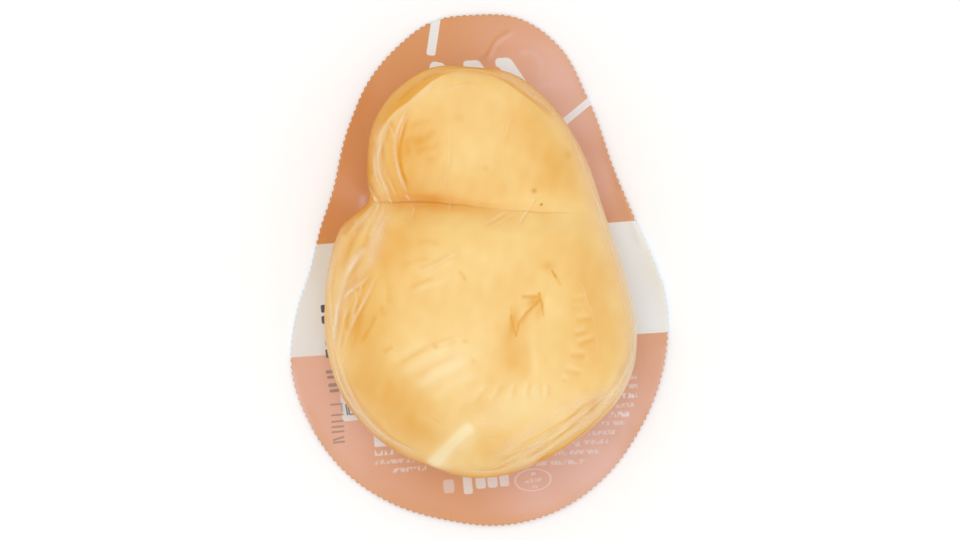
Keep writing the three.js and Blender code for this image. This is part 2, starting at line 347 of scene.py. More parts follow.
NECK_CREASES = [
    ([(16.6, 20.0), (14.7, 17.1), (12.1, 13.3), (10.7, 11.2)], 0.32, 0.7),
    ([(9.2, 16.4), (5.4, 14.0), (1.0, 11.7)], 0.32, 0.7),
    ([(11.4, 15.4), (7.6, 13.4), (4.2, 11.4)], 0.26, 0.35),
    ([(-17.6, 19.1), (-16.8, 16.8), (-17.6, 14.1)], 0.28, 0.5),
    ([(-7.2, 19.0), (-7.0, 17.1), (-8.1, 14.9)], 0.28, 0.35),
    ([(-27.8, 21.1), (-27.3, 20.6), (-26.7, 19.4), (-26.9, 16.9)], 0.28, 0.7),
    ([(-23.6, 20.9), (-23.1, 19.5), (-22.5, 18.4)], 0.28, 0.8),
    ([(-18.9, 21.0), (-17.8, 19.6)], 0.32, 0.9),
]
SHEAF_CREASES = [
    ([(-30.5, 6.8), (-32.3, 3.9), (-34.0, 1.5), (-35.7, -1.5), (-36.7, -4.9), (-37.8, -8.0),
      (-38.7, -12.7), (-39.3, -17.4), (-38.9, -22.1)], 0.6, 0.75),
    ([(-25.8, 0.7), (-27.7, -1.7), (-29.0, -4.5), (-31.0, -8.1), (-33.0, -11.5), (-35.1, -15.8),
      (-37.2, -21.1)], 0.4, 0.85),
    ([(-31.0, -2.6), (-31.8, -5.0), (-31.9, -6.6)], 0.36, 0.6),
    ([(-37.5, -8.5), (-35.8, -6.2), (-33.3, -4.4), (-32.6, -6.6), (-33.6, -9.6), (-33.7, -12.7),
      (-34.0, -14.3)], 0.38, 0.65),
    ([(-28.3, 0.1), (-31.2, -2.6), (-33.8, -4.4), (-36.6, -6.6)], 0.42, 0.65),
    ([(-34.8, -8.1), (-36.2, -11.5), (-37.2, -15.2), (-38.1, -19.5), (-38.6, -22.1)], 0.4, 0.55),
    ([(-38.2, 5.4), (-39.6, 1.7), (-40.2, -3.3), (-40.2, -9.6), (-39.8, -15.8), (-39.4, -22.1)],
     0.4, 0.5),
    ([(-24.7, 17.9), (-26.6, 13.8), (-28.2, 10.3)], 0.42, 0.5),
    ([(-26.1, 18.6), (-28.8, 13.9), (-31.0, 9.1)], 0.36, 0.4),
    ([(-24.8, 14.4), (-23.7, 14.7), (-22.8, 15.2)], 0.22, 0.4),
]
BODY_CREASES = [
    ([(-4.0, 5.3), (-8.4, 3.3), (-11.7, 1.5), (-14.1, -0.0)], 0.45, 0.35),
    ([(-17.0, -37.4), (-12.8, -40.5), (-9.6, -42.7)], 0.3, 0.25),
    ([(-11.0, -37.0), (-6.5, -38.4)], 0.3, 0.25),
    ([(-2.0, -40.9), (3.9, -41.6), (9.5, -43.1)], 0.3, 0.45),
    ([(1.1, -45.9), (5.7, -45.5)], 0.3, 0.3),
    ([(24.5, 0.4), (26.0, -2.3), (28.2, -5.0), (29.3, -8.9), (30.4, -11.2), (31.1, -14.0),
      (31.7, -18.2), (32.0, -22.8), (31.9, -25.9)], 0.34, 0.32),
]
WALL_CREASES = [
    ([(38.2, -33.1), (32.9, -35.0), (27.4, -39.1), (21.1, -42.7), (14.9, -46.5), (8.6, -50.3),
      (2.4, -53.9), (-1.5, -55.1)], 0.5, 0.5),
    ([(33.9, -37.4), (26.1, -41.0), (18.8, -45.2), (12.3, -49.2), (5.9, -53.3)], 0.34, 0.45),
    ([(34.9, -38.8), (27.7, -42.5), (20.8, -46.1), (14.3, -50.4), (8.1, -54.1)], 0.34, 0.4),
    ([(42.8, -15.7), (42.4, -18.8), (42.0, -22.3), (41.2, -25.3), (39.8, -28.7), (38.0, -32.1)],
     0.32, 0.5),
    ([(41.2, -20.0), (40.8, -24.1), (39.6, -27.5), (37.8, -30.9), (35.2, -34.2)], 0.34, 0.5),
]
FILM_CREASES = HEAD_CREASES + NECK_CREASES + SHEAF_CREASES + BODY_CREASES + WALL_CREASES


def crease_groups():
    """The creases shared out so that, where it can be, no two of one group come close."""
    lines = [smooth_path(path) for path, _, _ in FILM_CREASES]
    groups = [[] for _ in range(CREASE_GROUPS)]
    for number, points in enumerate(lines):
        room = []
        for group in groups:
            gaps = [np.hypot(*(points[:, None] - lines[other][None]).T).min() for other in group]
            room.append(min(gaps, default=np.inf))
        groups[int(np.argmax(room))].append(number)
    return groups


def crease_attributes(x, y):
    """For each group, the distance to its nearest crease in half widths, and the strength."""
    kept = {}
    for group_number, group in enumerate(crease_groups()):
        nearest = np.full(np.shape(x), 2 * CREASE_REACH)
        away = np.full(np.shape(x), FAR)
        weight = np.zeros(np.shape(x))
        for number in group:
            path, half_width, strength = FILM_CREASES[number]
            near, signed, share = beside_path(x, y, path, 2 * CREASE_REACH)
            gap = np.abs(signed)
            uneven = 0.75 + 0.25 * np.sin(2 * np.pi * (1.6 * share + 0.37 * number))
            ends = smooth_step(share * 5) * smooth_step((1 - share) * 4)
            here = strength * ends * uneven * smooth_step((CREASE_REACH - gap) / 0.4)
            closer = gap < nearest[near]
            nearest[near] = np.where(closer, gap, nearest[near])
            away[near] = np.where(closer, np.clip(signed / half_width, -FAR, FAR), away[near])
            weight[near] = np.where(closer, here, weight[near])
        kept[f"crease_{group_number}"] = away
        kept[f"strength_{group_number}"] = weight
    return kept


# Streaks of the film along the walls, painted as pale highlights with amber shade between
# them: first and last direction, depth of the band at its middle, spacing, strength.
WALL_BANDS = [
    (262, 338, 9.0, 1.7, 0.6),
    (186, 262, 4.6, 1.2, 0.5),
    (134, 176, 5.0, 1.3, 0.35),
    (48, 128, 3.4, 0.9, 0.15),
]
WALL_RADIUS = 46
STREAK_HALF_WIDTH = 0.26
AMBER_STREAK = dict(height=0.45, half_width=0.25)


def wall_streaks(degrees, inward):
    """How strongly the painted pale highlights of the film's streaks, and the painted amber shade between
    them, show on the walls.
    """
    pale = np.zeros(np.shape(degrees))
    amber = np.zeros(np.shape(degrees))
    along = np.radians(degrees) * WALL_RADIUS
    for number, (first, last, depth, spacing, most) in enumerate(WALL_BANDS):
        part = np.clip((degrees - first) / (last - first), 0, 1)
        swell = np.sin(np.pi * part) ** 0.6
        here = depth * (0.2 + 0.8 * swell)
        drift = 1.2 * smooth_noise(along / 17, inward * 0, SEED + 20 + number)
        across = inward / spacing * (1.25 - 0.25 * swell) + drift
        height = smooth_noise(across, along / 24, SEED + 30 + number)
        height = height + 0.4 * smooth_noise(2.1 * across, along / 14, SEED + 40 + number)
        fade = smooth_step(swell * 1.5) * smooth_step((1.1 - inward / here) / 0.35)
        fade = most * fade * smooth_step(inward / 0.4)
        pale += fade * bell(height, STREAK_HALF_WIDTH)
        amber += fade * bell(height - AMBER_STREAK["height"], AMBER_STREAK["half_width"])
    return pale, amber


# Dents of the pinch in the body: middle, half sizes, turn in degrees, strength.
PINCH_DENTS = [
    ((9.1, -14.0), (0.8, 3.6), -8, 0.9),
    ((12.8, -12.6), (0.6, 4.8), -42, 0.8),
    ((16.9, -9.6), (0.5, 2.8), -18, 0.7),
    ((14.0, -7.6), (1.3, 0.5), -4, 0.5),
    ((14.6, -9.6), (2.2, 1.6), 40, 0.5),
    ((21.3, -2.6), (0.6, 2.2), 28, 0.7),
]
# The fan of short ribs round the body's lower right: path, half width, strength.
RIBS = [
    ([(24.8, -8.7), (28.9, -8.6)], 1.3, 0.5),
    ([(25.1, -10.8), (28.3, -11.0)], 0.8, 0.35),
    ([(25.8, -14.2), (30.8, -13.8)], 0.9, 0.7),
    ([(25.5, -18.1), (29.2, -17.3)], 0.75, 0.75),
    ([(26.2, -20.8), (28.8, -20.0), (31.6, -19.2)], 0.75, 0.9),
    ([(24.0, -23.5), (28.9, -23.8)], 0.95, 0.75),
    ([(22.3, -27.5), (24.7, -28.0), (27.6, -28.9)], 0.95, 0.75),
    ([(21.9, -30.3), (23.4, -30.3)], 0.6, 0.75),
    ([(18.1, -34.8), (18.5, -32.9), (18.3, -30.9)], 0.5, 0.9),
    ([(16.2, -35.0), (16.4, -32.5), (16.0, -30.5)], 0.36, 0.75),
    ([(15.1, -34.4), (15.5, -31.3)], 0.36, 0.65),
    ([(12.9, -35.2), (13.2, -32.4), (13.4, -29.9)], 0.42, 0.75),
    ([(12.1, -34.3), (12.6, -31.6)], 0.4, 0.65),
    ([(8.2, -35.4), (9.1, -33.0), (9.8, -30.7)], 0.6, 0.65),
    ([(3.0, -35.8), (4.7, -33.3), (6.2, -30.6)], 0.75, 0.6),
    ([(-1.9, -36.4), (0.3, -33.6), (2.5, -31.3)], 0.8, 0.45),
]
# Pale strokes that lead down to the lower left: painted highlights on folds.
BROAD_FOLDS = [
    ([(-24.4, -24.6), (-19.5, -21.1), (-13.5, -18.6)], 1.1, 0.55),
    ([(-22.0, -28.4), (-15.3, -23.8), (-6.4, -19.3)], 1.4, 0.75),
    ([(-18.4, -31.8), (-11.4, -27.6), (-2.0, -23.4)], 1.5, 0.9),
    ([(-14.0, -35.2), (-7.2, -30.4), (1.0, -26.9)], 1.3, 0.7),
    ([(-8.4, -37.6), (-3.2, -33.8), (2.0, -30.2)], 1.2, 0.5),
    ([(-18.0, -5.3), (-14.0, -3.9), (-9.7, -2.7), (-6.6, -0.4)], 0.9, 0.55),
    ([(-17.8, -0.5), (-12.6, 1.3), (-8.7, 3.3), (-4.8, 5.6)], 0.8, 0.6),
    ([(-16.3, -2.2), (-9.5, 1.0), (-5.7, 3.2)], 0.45, 0.4),
]
# More or less amber on the cheese, partly its own tone and partly painted shade beside wrinkles and down
# the walls: path, half width, strength.
AMBER_STROKES = [
    # The sheaf on the body's left.
    ([(-30.1, 15.4), (-31.6, 13.0), (-33.2, 9.9), (-34.8, 6.5), (-36.1, 2.8), (-36.6, -0.3)], 0.9, 0.32),
    ([(-29.3, 11.0), (-30.0, 8.2), (-31.9, 6.4), (-32.9, 4.0)], 0.7, 0.3),
    ([(-27.6, -10.8), (-29.5, -14.7), (-32.3, -19.0)], 0.55, 0.22),
    ([(-23.5, -2.8), (-24.2, -5.8), (-24.1, -8.8)], 0.8, 0.16),
    ([(-26.0, -8.3), (-25.9, -10.9), (-24.6, -11.3)], 0.7, 0.16),
    ([(-33.4, 14.4), (-35.2, 12.5), (-36.6, 10.4)], 0.7, 0.6),
    ([(-32.4, -0.4), (-34.4, -3.1), (-36.4, -4.9)], 0.6, 0.35),
    ([(-35.2, -9.6), (-35.9, -12.7), (-36.0, -15.8)], 0.6, 0.2),
    ([(-31.1, -9.7), (-32.8, -14.3), (-33.8, -17.7), (-35.2, -21.4)], 0.9, 0.16),
    # Painted shade beside the creases on the head's left.
    ([(-17.4, 42.8), (-18.9, 38.5), (-20.1, 34.2), (-20.2, 29.9), (-19.2, 25.6), (-17.8, 21.8)],
     0.5, 0.34),
    ([(-21.8, 41.9), (-23.2, 38.7), (-24.2, 34.9)], 0.6, 0.28),
    ([(-24.7, 37.1), (-25.0, 33.4), (-24.3, 28.4), (-23.1, 24.6)], 0.5, 0.28),
    ([(-27.9, 32.5), (-28.6, 29.3), (-28.1, 26.0)], 0.6, 0.3),
    # The lower right wall: painted shade between its wrinkles.
    ([(33.1, -40.4), (28.2, -44.1), (23.5, -47.5), (18.0, -50.9), (12.5, -53.6), (7.0, -55.2),
      (1.6, -56.1)], 0.8, 0.17),
    ([(34.5, -35.1), (29.0, -36.8), (23.5, -40.5), (18.8, -43.8), (14.1, -47.2), (10.6, -49.9)],
     0.45, 0.24),
    ([(35.4, -36.9), (31.3, -37.7), (26.6, -41.0), (21.9, -44.8), (18.0, -48.2), (13.3, -50.5),
      (8.6, -52.8)], 0.45, 0.24),
    ([(35.0, -36.0), (27.0, -41.5), (19.0, -46.5), (11.0, -51.0)], 2.8, 0.03),
    ([(23.1, -43.4), (27.7, -40.5), (32.3, -38.1)], 0.9, 0.28),
    ([(10.8, -51.6), (14.6, -49.3), (18.8, -46.7)], 0.8, 0.28),
    # The lower left wall.
    ([(-38.5, -31.5), (-35.5, -37.0), (-31.5, -42.0), (-26.5, -46.5), (-20.5, -50.0)], 2.4, 0.29),
    ([(-38.1, -25.5), (-32.2, -34.8), (-24.1, -42.2), (-15.7, -46.7)], 3.5, 0.1),
    # Fine lines of painted shade in the sheaf at the lower right.
    ([(3.6, -52.5), (11.0, -49.3), (18.9, -46.5), (24.9, -42.9), (29.9, -40.1)], 0.3, 0.3),
    ([(6.9, -49.7), (14.6, -45.2), (23.0, -40.9), (30.4, -37.3), (35.8, -34.1)], 0.3, 0.24),
    # Small marks on the body.
    ([(-16.5, 0.4), (-11.3, 2.4), (-6.5, 4.8)], 0.7, 0.24),
    ([(-18.4, -4.4), (-14.9, -2.8), (-11.4, -1.5)], 0.7, 0.22),
    ([(-16.4, 7.8), (-12.9, 8.2), (-9.5, 6.8)], 0.9, 0.14),
    ([(-20.5, 1.7), (-15.4, 3.3), (-11.9, 3.4)], 0.5, 0.16),
    ([(14.6, -16.0), (14.4, -22.0), (14.9, -29.0)], 1.2, -0.08),
    ([(-5.2, 0.3), (-3.7, -1.7), (-3.2, -3.0)], 0.5, 0.3),
    ([(-17.1, -21.0), (-11.9, -19.2), (-5.8, -17.4)], 0.6, 0.18),
    ([(-12.7, -20.6), (-8.4, -19.9), (-5.8, -18.2)], 0.4, 0.16),
    ([(-26.3, -21.6), (-23.2, -19.7)], 0.6, 0.25),
    ([(-10.7, -51.4), (-7.9, -48.6), (-4.9, -45.5), (-1.9, -42.3)], 0.26, 0.4),
    ([(-22.0, -25.0), (-16.0, -21.5), (-12.5, -20.6)], 0.6, 0.22),
    ([(-17.4, -28.6), (-12.4, -25.4), (-5.6, -22.4)], 0.6, 0.2),
    # The mottled patch on the head.
    ([(-18.0, 38.9), (-14.9, 40.2), (-10.4, 40.5)], 1.0, 0.12),
    ([(-17.3, 37.3), (-16.2, 35.8), (-13.5, 36.5)], 0.9, 0.14),
    ([(-17.3, 34.7), (-14.7, 35.0), (-11.6, 37.2), (-10.4, 39.0)], 1.0, 0.16),
    ([(-16.5, 32.0), (-13.6, 33.1), (-10.2, 34.1), (-9.7, 35.6)], 1.0, 0.18),
    ([(-13.7, 30.4), (-10.2, 30.7), (-8.9, 33.3)], 1.1, 0.14),
    ([(-17.4, 31.6), (-18.2, 34.6), (-17.6, 36.6)], 0.9, 0.12),
]
# Spots of amber, or of less where the strength is below 0, partly the rind's tone and partly painted
# shade: middle, half sizes, turn, strength.
AMBER_SPOTS = [
    # Along the neck.
    ((-10.5, 25.5), (6.0, 5.0), 0, 0.08),
    ((-13.0, 19.8), (4.0, 1.2), -4, 0.2),
    ((-7.5, 18.4), (2.5, 1.0), -4, -0.1),
    ((-20.3, 15.6), (4.0, 2.4), 0, -0.26),
    ((22.0, 18.0), (12.0, 4.0), -14, -0.15),
    # Outside the head's shoulder.
    ((-27.8, 35.4), (1.1, 4.0), 15, 0.28),
    ((-21.0, 48.0), (3.0, 3.0), 0, -0.12),
    # The pinch and the body.
    ((15.0, -8.5), (1.8, 1.2), 35, 0.48),
    ((9.2, -14.6), (1.1, 3.4), -10, 0.2),
    ((16.2, -11.6), (1.3, 2.0), -10, 0.24),
    ((12.0, -13.5), (1.6, 3.0), -40, 0.16),
    ((14.5, -15.0), (3.0, 4.0), 0, 0.1),
    ((-8.0, 27.5), (9.0, 6.0), 0, 0.08),
    ((-15.5, -45.0), (6.0, 5.0), -30, 0.16),
    ((5.0, -50.5), (5.5, 3.0), 10, 0.16),
    ((-29.2, 4.0), (2.0, 7.0), 20, -0.14),
    ((-14.5, 33.5), (5.5, 5.5), 0, 0.1),
    ((25.0, 13.5), (5.0, 7.0), 10, -0.34),
    ((-22.0, 2.0), (7.0, 9.0), 20, 0.2),
    ((-14.0, 7.0), (8.0, 5.0), 10, 0.12),
    ((37.0, -33.0), (4.0, 4.0), 30, -0.2),
    ((0.5, -43.5), (6.0, 5.0), 0, 0.16),
    ((10.5, -13.0), (2.4, 3.4), -20, 0.14),
    ((10.0, -23.6), (4.0, 6.5), 0, 0.28),
    ((7.0, -17.6), (3.6, 4.4), -20, 0.2),
    ((-17.7, -34.4), (9.0, 5.5), -35, 0.07),
    ((-0.8, -37.4), (7.0, 2.6), -10, 0.2),
    ((3.0, 27.6), (0.9, 0.9), 0, 0.22),
    ((15.9, 21.1), (0.7, 0.7), 0, 0.45),
    ((26.0, 31.0), (1.2, 1.2), 0, 0.25),
    ((-3.6, 41.3), (1.4, 1.0), 0, 0.15),
    ((-11.9, -20.2), (0.7, 0.7), 0, 0.4),
    ((-3.8, -18.9), (0.7, 0.6), 0, 0.4),
    ((-1.8, -24.2), (0.6, 0.9), 20, 0.3),
    ((18.7, 0.8), (1.6, 1.2), 0, 0.25),
]
# Pale spots, painted highlights on the body's top, the head and beside the pinch: middle, half sizes,
# turn, strength.
PALE_SPOTS = [
    ((-11.3, -53.1), (3.2, 1.7), -20, 0.45),
    ((11.6, -11.6), (0.7, 1.9), -30, 0.25),
    ((14.6, -21.5), (1.2, 7.5), 0, 0.12),
    ((-3.4, -46.2), (5.0, 1.5), 47, 0.28),
    ((-9.0, -25.0), (10.0, 5.5), 30, 0.4),
    ((6.0, -38.0), (15.0, 5.0), 15, 0.4),
    ((3.0, 45.0), (14.0, 6.0), -15, 0.1),
]
# The fold at the bottom, and how far beside each rib the painted highlight on its ridge lies.
PALE_FOLD = [(-15.2, -53.8), (-11.4, -50.4), (-7.4, -46.2), (-4.6, -43.4), (-2.0, -41.2)]
RIDGE_REACH = 1.15

# The head's crisp shoulder, outside which its wall is amber, partly smoked colour and partly painted
# shade.
HEAD_RIM = [
    (-28.3, 30.9), (-26.7, 36.2), (-24.3, 40.4), (-20.4, 44.3), (-17.1, 46.4), (-12.2, 50.6),
    (-8.8, 53.0), (-4.4, 54.2), (2.5, 53.5), (8.3, 51.3), (13.0, 47.8), (17.8, 43.8),
    (20.7, 41.1), (22.9, 38.4), (24.6, 35.4),
]
RIM_REACH = 7.0
# Painted shadows, rust-coloured, in the folds between that shoulder and the outline.
RIM_SHADOWS = [
    ([(6.1, 52.9), (8.3, 51.8), (10.1, 50.7), (12.0, 49.5)], 0.5, 0.28),
    ([(13.1, 49.6), (15.0, 48.3), (17.1, 46.7), (19.3, 44.9), (21.2, 43.2), (22.8, 41.3)], 0.5, 0.24),
    ([(-14.5, 51.6), (-12.3, 52.9), (-10.1, 53.8), (-8.2, 54.3)], 0.5, 0.45),
    ([(-20.9, 46.0), (-18.9, 48.1), (-16.7, 49.9), (-14.5, 51.5)], 0.6, 0.3),
]

# How plainly the neck's crease shows as a painted dark line of shade, and how amber it is, by x.
NECK_LINE = [
    (-30, 0.0), (-26, 0.3), (-19, 0.5), (-8, 0.45), (1, 0.18), (8, 0.12), (14, 0.25), (24, 0.1),
    (28, 0.0),
]
# Amber beside the neck's crease, partly smoked colour and partly painted shade in the groove.
NECK_AMBER = [
    (-29, 0.0), (-22, 0.0), (-17, 0.06), (-10, 0.46), (-3, 0.34), (5, 0.14), (14, 0.04), (25, 0.0),
]
NECK_AMBER_REACH = dict(body=2.4, head=2.2)

# How amber the rind is, partly its smoked colour and partly painted shade down the walls and
# under the belly: in the middle, under the belly, and by direction a little way in and at the edge.
MIDDLE_AMBER = 0.22
BELLY_AMBER = 0.6
RING_AMBER = [
    (0, 0.46), (30, 0.5), (60, 0.6), (85, 0.4), (100, 0.38), (122, 0.6), (140, 0.5), (160, 0.55),
    (180, 0.58), (200, 0.6), (220, 0.62), (240, 0.56), (258, 0.28), (275, 0.28), (295, 0.12),
    (315, 0.27), (335, 0.42),
]
EDGE_AMBER = [
    (0, 0.45), (40, 0.6), (60, 0.7), (85, 0.85), (100, 0.95), (125, 1.0), (145, 0.85), (165, 0.65),
    (180, 0.5), (200, 0.5), (220, 0.62), (250, 0.72), (275, 0.76), (300, 0.52), (318, 0.5),
    (335, 0.45),
]
RING_DEPTH = 10.0
RING_SPREAD = 7.0
EDGE_SPREAD = 2.2
# The thin line of painted shade, rust-coloured, along the outline, by direction.
EDGE_LINE = [
    (0, 0.0), (45, 0.1), (56, 0.4), (68, 0.6), (100, 0.8), (124, 0.8), (136, 0.6), (160, 0.4),
    (185, 0.1), (205, 0.15), (222, 0.4), (240, 0.6), (280, 0.55), (294, 0.32), (316, 0.28),
    (328, 0.1),
]
EDGE_LINE_WIDTH = 0.6
# What other marks add to the amber: painted shade at the ribs, dents and streaks, and slow and fine
# mottling.
RIB_AMBER = 0.23
DENT_AMBER = 0.20
STREAK_AMBER = 0.50
MOTTLES = [(0.07, 16), (0.04, 5)]
# What makes the cheese pale: the fold, and painted highlights on the broad strokes, the ribs' ridges and
# streaks.
FOLD_HALF_WIDTH = 1.55
FOLD_PALE = 0.72
STROKE_PALE = 0.36
RIDGE_PALE = 0.3
RIDGE_HALF_WIDTH = 0.6
STREAK_PALE = 0.35


def rim_layers(x, y):
    """The distance outside the head's shoulder line, and how plainly it shows there."""
    near, signed, share = beside_path(x, y, HEAD_RIM, RIM_REACH)
    away = np.full(np.shape(x), -FAR)
    weight = np.zeros(np.shape(x))
    away[near] = np.clip(signed, -FAR, FAR)
    weight[near] = smooth_step(share * 9) * smooth_step((1 - share) * 7) * (1 - 0.3 * share)
    return away, weight


def amber_share(x, y, degrees, inward):
    """How deep the amber is, from 0 to 1: partly smoked colour, partly painted shade."""
    ring = bell(inward - RING_DEPTH, RING_SPREAD)
    edge = bell(inward, EDGE_SPREAD)
    amber = MIDDLE_AMBER + (around(RING_AMBER, degrees) - MIDDLE_AMBER) * ring * (1 - edge)
    amber += (around(EDGE_AMBER, degrees) - MIDDLE_AMBER) * edge
    below = neck_y(x) - y
    reach = np.where(below > 0, NECK_AMBER_REACH["body"], NECK_AMBER_REACH["head"])
    amber += np.interp(x, *zip(*NECK_AMBER)) * bell(below, reach)
    amber += strokes(x, y, AMBER_STROKES) + spots(x, y, AMBER_SPOTS)
    amber += RIB_AMBER * strokes(x, y, RIBS) + DENT_AMBER * spots(x, y, PINCH_DENTS)
    amber += STREAK_AMBER * wall_streaks(degrees, inward)[1]
    for number, (strength, size) in enumerate(MOTTLES):
        amber += strength * slow_waves(x, y, SEED + 2 + number, size)
    return np.clip(amber, 0, 1)


def pale_share(x, y, degrees, inward):
    """Where the cheese is palest: its fold, and painted highlights on broad soft strokes and the middle
    of the body.
    """
    fold = np.minimum(1.7 * stroke(x, y, PALE_FOLD, FOLD_HALF_WIDTH, fade=8), 1.0)
    ridges = [(beside(path, RIDGE_REACH), RIDGE_HALF_WIDTH, strength) for path, _, strength in RIBS]
    pale = FOLD_PALE * fold + STROKE_PALE * strokes(x, y, BROAD_FOLDS)
    pale += RIDGE_PALE * strokes(x, y, ridges) + STREAK_PALE * wall_streaks(degrees, inward)[0]
    pale += spots(x, y, PALE_SPOTS)
    return np.clip(pale, 0, 1)


# Where the clear film is painted pale over the cheese, partly milky film and partly painted highlights on
# its wrinkles: path, half width, strength.
HAZE_STROKES = [
    ([(4.8, 53.4), (8.8, 52.3), (13.4, 49.5), (17.4, 46.5), (20.9, 43.3)], 1.3, 0.26),
    ([(-22.5, 18.1), (-24.9, 14.0), (-27.4, 10.8), (-29.4, 6.6), (-33.4, 3.4), (-35.4, 0.2),
      (-36.9, -3.3), (-38.2, -8.4), (-38.9, -12.8), (-39.0, -17.4), (-38.9, -21.8)], 1.1, 0.32),
    ([(-24.0, 16.8), (-25.6, 11.8), (-27.5, 7.8), (-28.8, 3.8), (-30.8, 0.8), (-33.8, -3.1),
      (-36.4, -6.5)], 1.1, 0.34),
    ([(-26.0, 35.6), (-23.2, 40.3), (-19.6, 43.6), (-15.8, 45.8), (-12.6, 48.6), (-9.0, 51.4)], 0.7, 0.3),
    ([(-24.4, 12.1), (-25.5, 9.4), (-26.7, 6.2), (-27.8, 3.5), (-29.2, 0.9)], 1.5, 0.26),
    ([(-33.8, -2.8), (-35.0, -5.5), (-35.9, -8.4), (-36.8, -12.0)], 0.9, 0.22),
    ([(-37.2, 10.4), (-38.3, 8.0), (-39.2, 4.2), (-40.4, -0.2), (-41.1, -4.3), (-41.5, -8.4)], 0.6, 0.14),
    ([(-29.9, 7.4), (-32.2, 5.3), (-34.2, 2.1), (-35.7, -0.3)], 0.9, 0.32),
    ([(-27.3, 19.2), (-30.0, 15.4), (-32.7, 11.3), (-34.4, 9.2)], 0.8, 0.2),
    ([(-24.0, 41.5), (-25.4, 36.5), (-26.2, 31.0), (-25.6, 25.0)], 1.8, 0.3),
    ([(38.6, -30.0), (34.5, -33.4), (29.0, -35.3), (21.2, -38.9), (13.4, -43.3), (6.7, -48.2),
      (1.0, -52.6)], 1.8, 0.42),
    ([(40.0, -25.5), (38.0, -30.0), (35.0, -34.0), (30.5, -37.5)], 2.2, 0.16),
    ([(-40.4, -22.2), (-38.8, -28.5), (-36.4, -33.7), (-33.1, -39.4), (-28.9, -43.9), (-25.1, -46.4)],
     0.6, 0.3),
    ([(-38.3, -21.8), (-37.4, -27.3), (-35.6, -32.0), (-33.1, -37.0), (-29.4, -42.0), (-24.8, -46.0),
      (-19.4, -48.8), (-16.2, -51.1)], 0.9, 0.26),
]

# How strongly a reflection is painted on the film at the foot of the walls, and how far in that reaches,
# by direction.
WALL_REFLECTION = [
    (0, 0.68), (20, 0.62), (40, 0.4), (60, 0.24), (80, 0.06), (100, 0.0), (120, 0.0), (140, 0.0),
    (160, 0.08), (180, 0.12), (200, 0.2), (220, 0.2), (240, 0.18), (260, 0.12), (280, 0.02),
    (300, 0.02), (316, 0.12), (330, 0.5), (345, 0.67),
]
WALL_REFLECTION_REACH = [
    (0, 2.8), (20, 2.8), (40, 3.4), (60, 2.4), (90, 1.5), (140, 2.2), (180, 2.4), (230, 2.6),
    (260, 2.2), (290, 2.0), (320, 2.6), (340, 2.8),
]

# The flange's cool, pinkish sheen, a painted reflection, by direction: most at the lower right, none at
# the upper left.
SHEEN = [
    (0, 0.5), (18, 0.26), (30, 0.38), (42, 0.62), (58, 0.9), (72, 0.74), (84, 0.38), (95, 0.1),
    (110, 0.0), (122, 0.09), (135, 0.12), (150, 0.04), (172, 0.06), (184, 0.38), (198, 0.72),
    (220, 0.68), (240, 0.44), (258, 0.26), (272, 0.36), (288, 0.92), (305, 1.25), (325, 0.72),
    (342, 0.5),
]
SHEEN_SPOTS = [
    ((-31.6, 20.3), (1.0, 1.8), -25, 0.8),
    ((24.0, 53.0), (4.5, 4.0), 0, 0.25),
    ((36.0, 26.0), (3.0, 12.0), -15, 0.2),
]
SHEEN_STROKES = [
    # A crisp crease of the flange beside the head, and the patches of painted sheen it leaves.
    ([(3.0, 58.7), (4.5, 60.7), (5.9, 63.4), (7.7, 65.1), (11.8, 67.5)], 0.5, -0.5),
    ([(4.0, 58.2), (5.6, 60.5), (7.0, 63.0), (8.8, 64.4), (12.6, 66.6)], 0.6, 0.5),
    ([(11.6, 59.7), (14.6, 60.6), (17.9, 60.0), (19.5, 57.2), (18.7, 54.2), (16.9, 52.3)], 0.6, 0.3),
    ([(17.3, 50.2), (18.4, 50.4), (21.4, 51.6), (23.6, 50.1)], 0.6, 0.25),
    ([(33.5, -53.1), (34.8, -49.2), (37.2, -46.2)], 0.6, -0.25),
    # The paler outer edge at both sides, a painted highlight.
    ([(-52.4, -23.7), (-52.1, -28.7), (-50.8, -34.3), (-49.0, -40.0), (-46.6, -45.1)], 1.1, 0.5),
    ([(52.3, -20.3), (51.8, -25.3), (50.5, -30.8), (48.4, -36.4), (45.8, -41.4)], 1.0, 0.3),
    ([(39.1, -47.4), (40.0, -44.3), (40.4, -41.9)], 0.8, 0.25),
    ([(26.8, -54.9), (27.2, -53.0), (30.0, -52.2)], 0.8, -0.25),
]

# How pale the film is painted at its streaks, strokes and pleats, partly milky film and partly painted
# highlights, and how strong its painted sheen is.
STREAK_HAZE = 0.34
STROKE_HAZE = 0.7
PLEAT_HAZE = 0.2
SHEEN_VEIL = 0.17
MOST_SHEEN = 1.3


def flange_share(x, y, inset):
    """A place's direction, and its share of the way out over the flange to the pack's edge."""
    degrees = degrees_of(x, y)
    radius = np.hypot(x - CENTRE[0], y - CENTRE[1])
    inner = around(CHEESE_EDGE, degrees) - inset
    return degrees, (radius - inner) / (around(PACK_EDGE, degrees) - inner)


def flange_sheen(x, y):
    """How strongly the painted reflection, the cool sheen, shows on the flange."""
    degrees, share = flange_share(x, y, 0.0)
    fade = 0.55 + 0.45 * smooth_step((1.05 - share) / 0.35)
    marks = spots(x, y, SHEEN_SPOTS) + strokes(x, y, SHEEN_STROKES)
    return np.clip(around(SHEEN, degrees) * fade + marks, 0, MOST_SHEEN)


# How high the flange's edge lies: on average, and waves as how many, phase and height.
EDGE_LIFT = 0.9
EDGE_WAVES = [(3, 0.6, 0.35), (5, 2.0, 0.25), (9, 0.0, 0.15)]
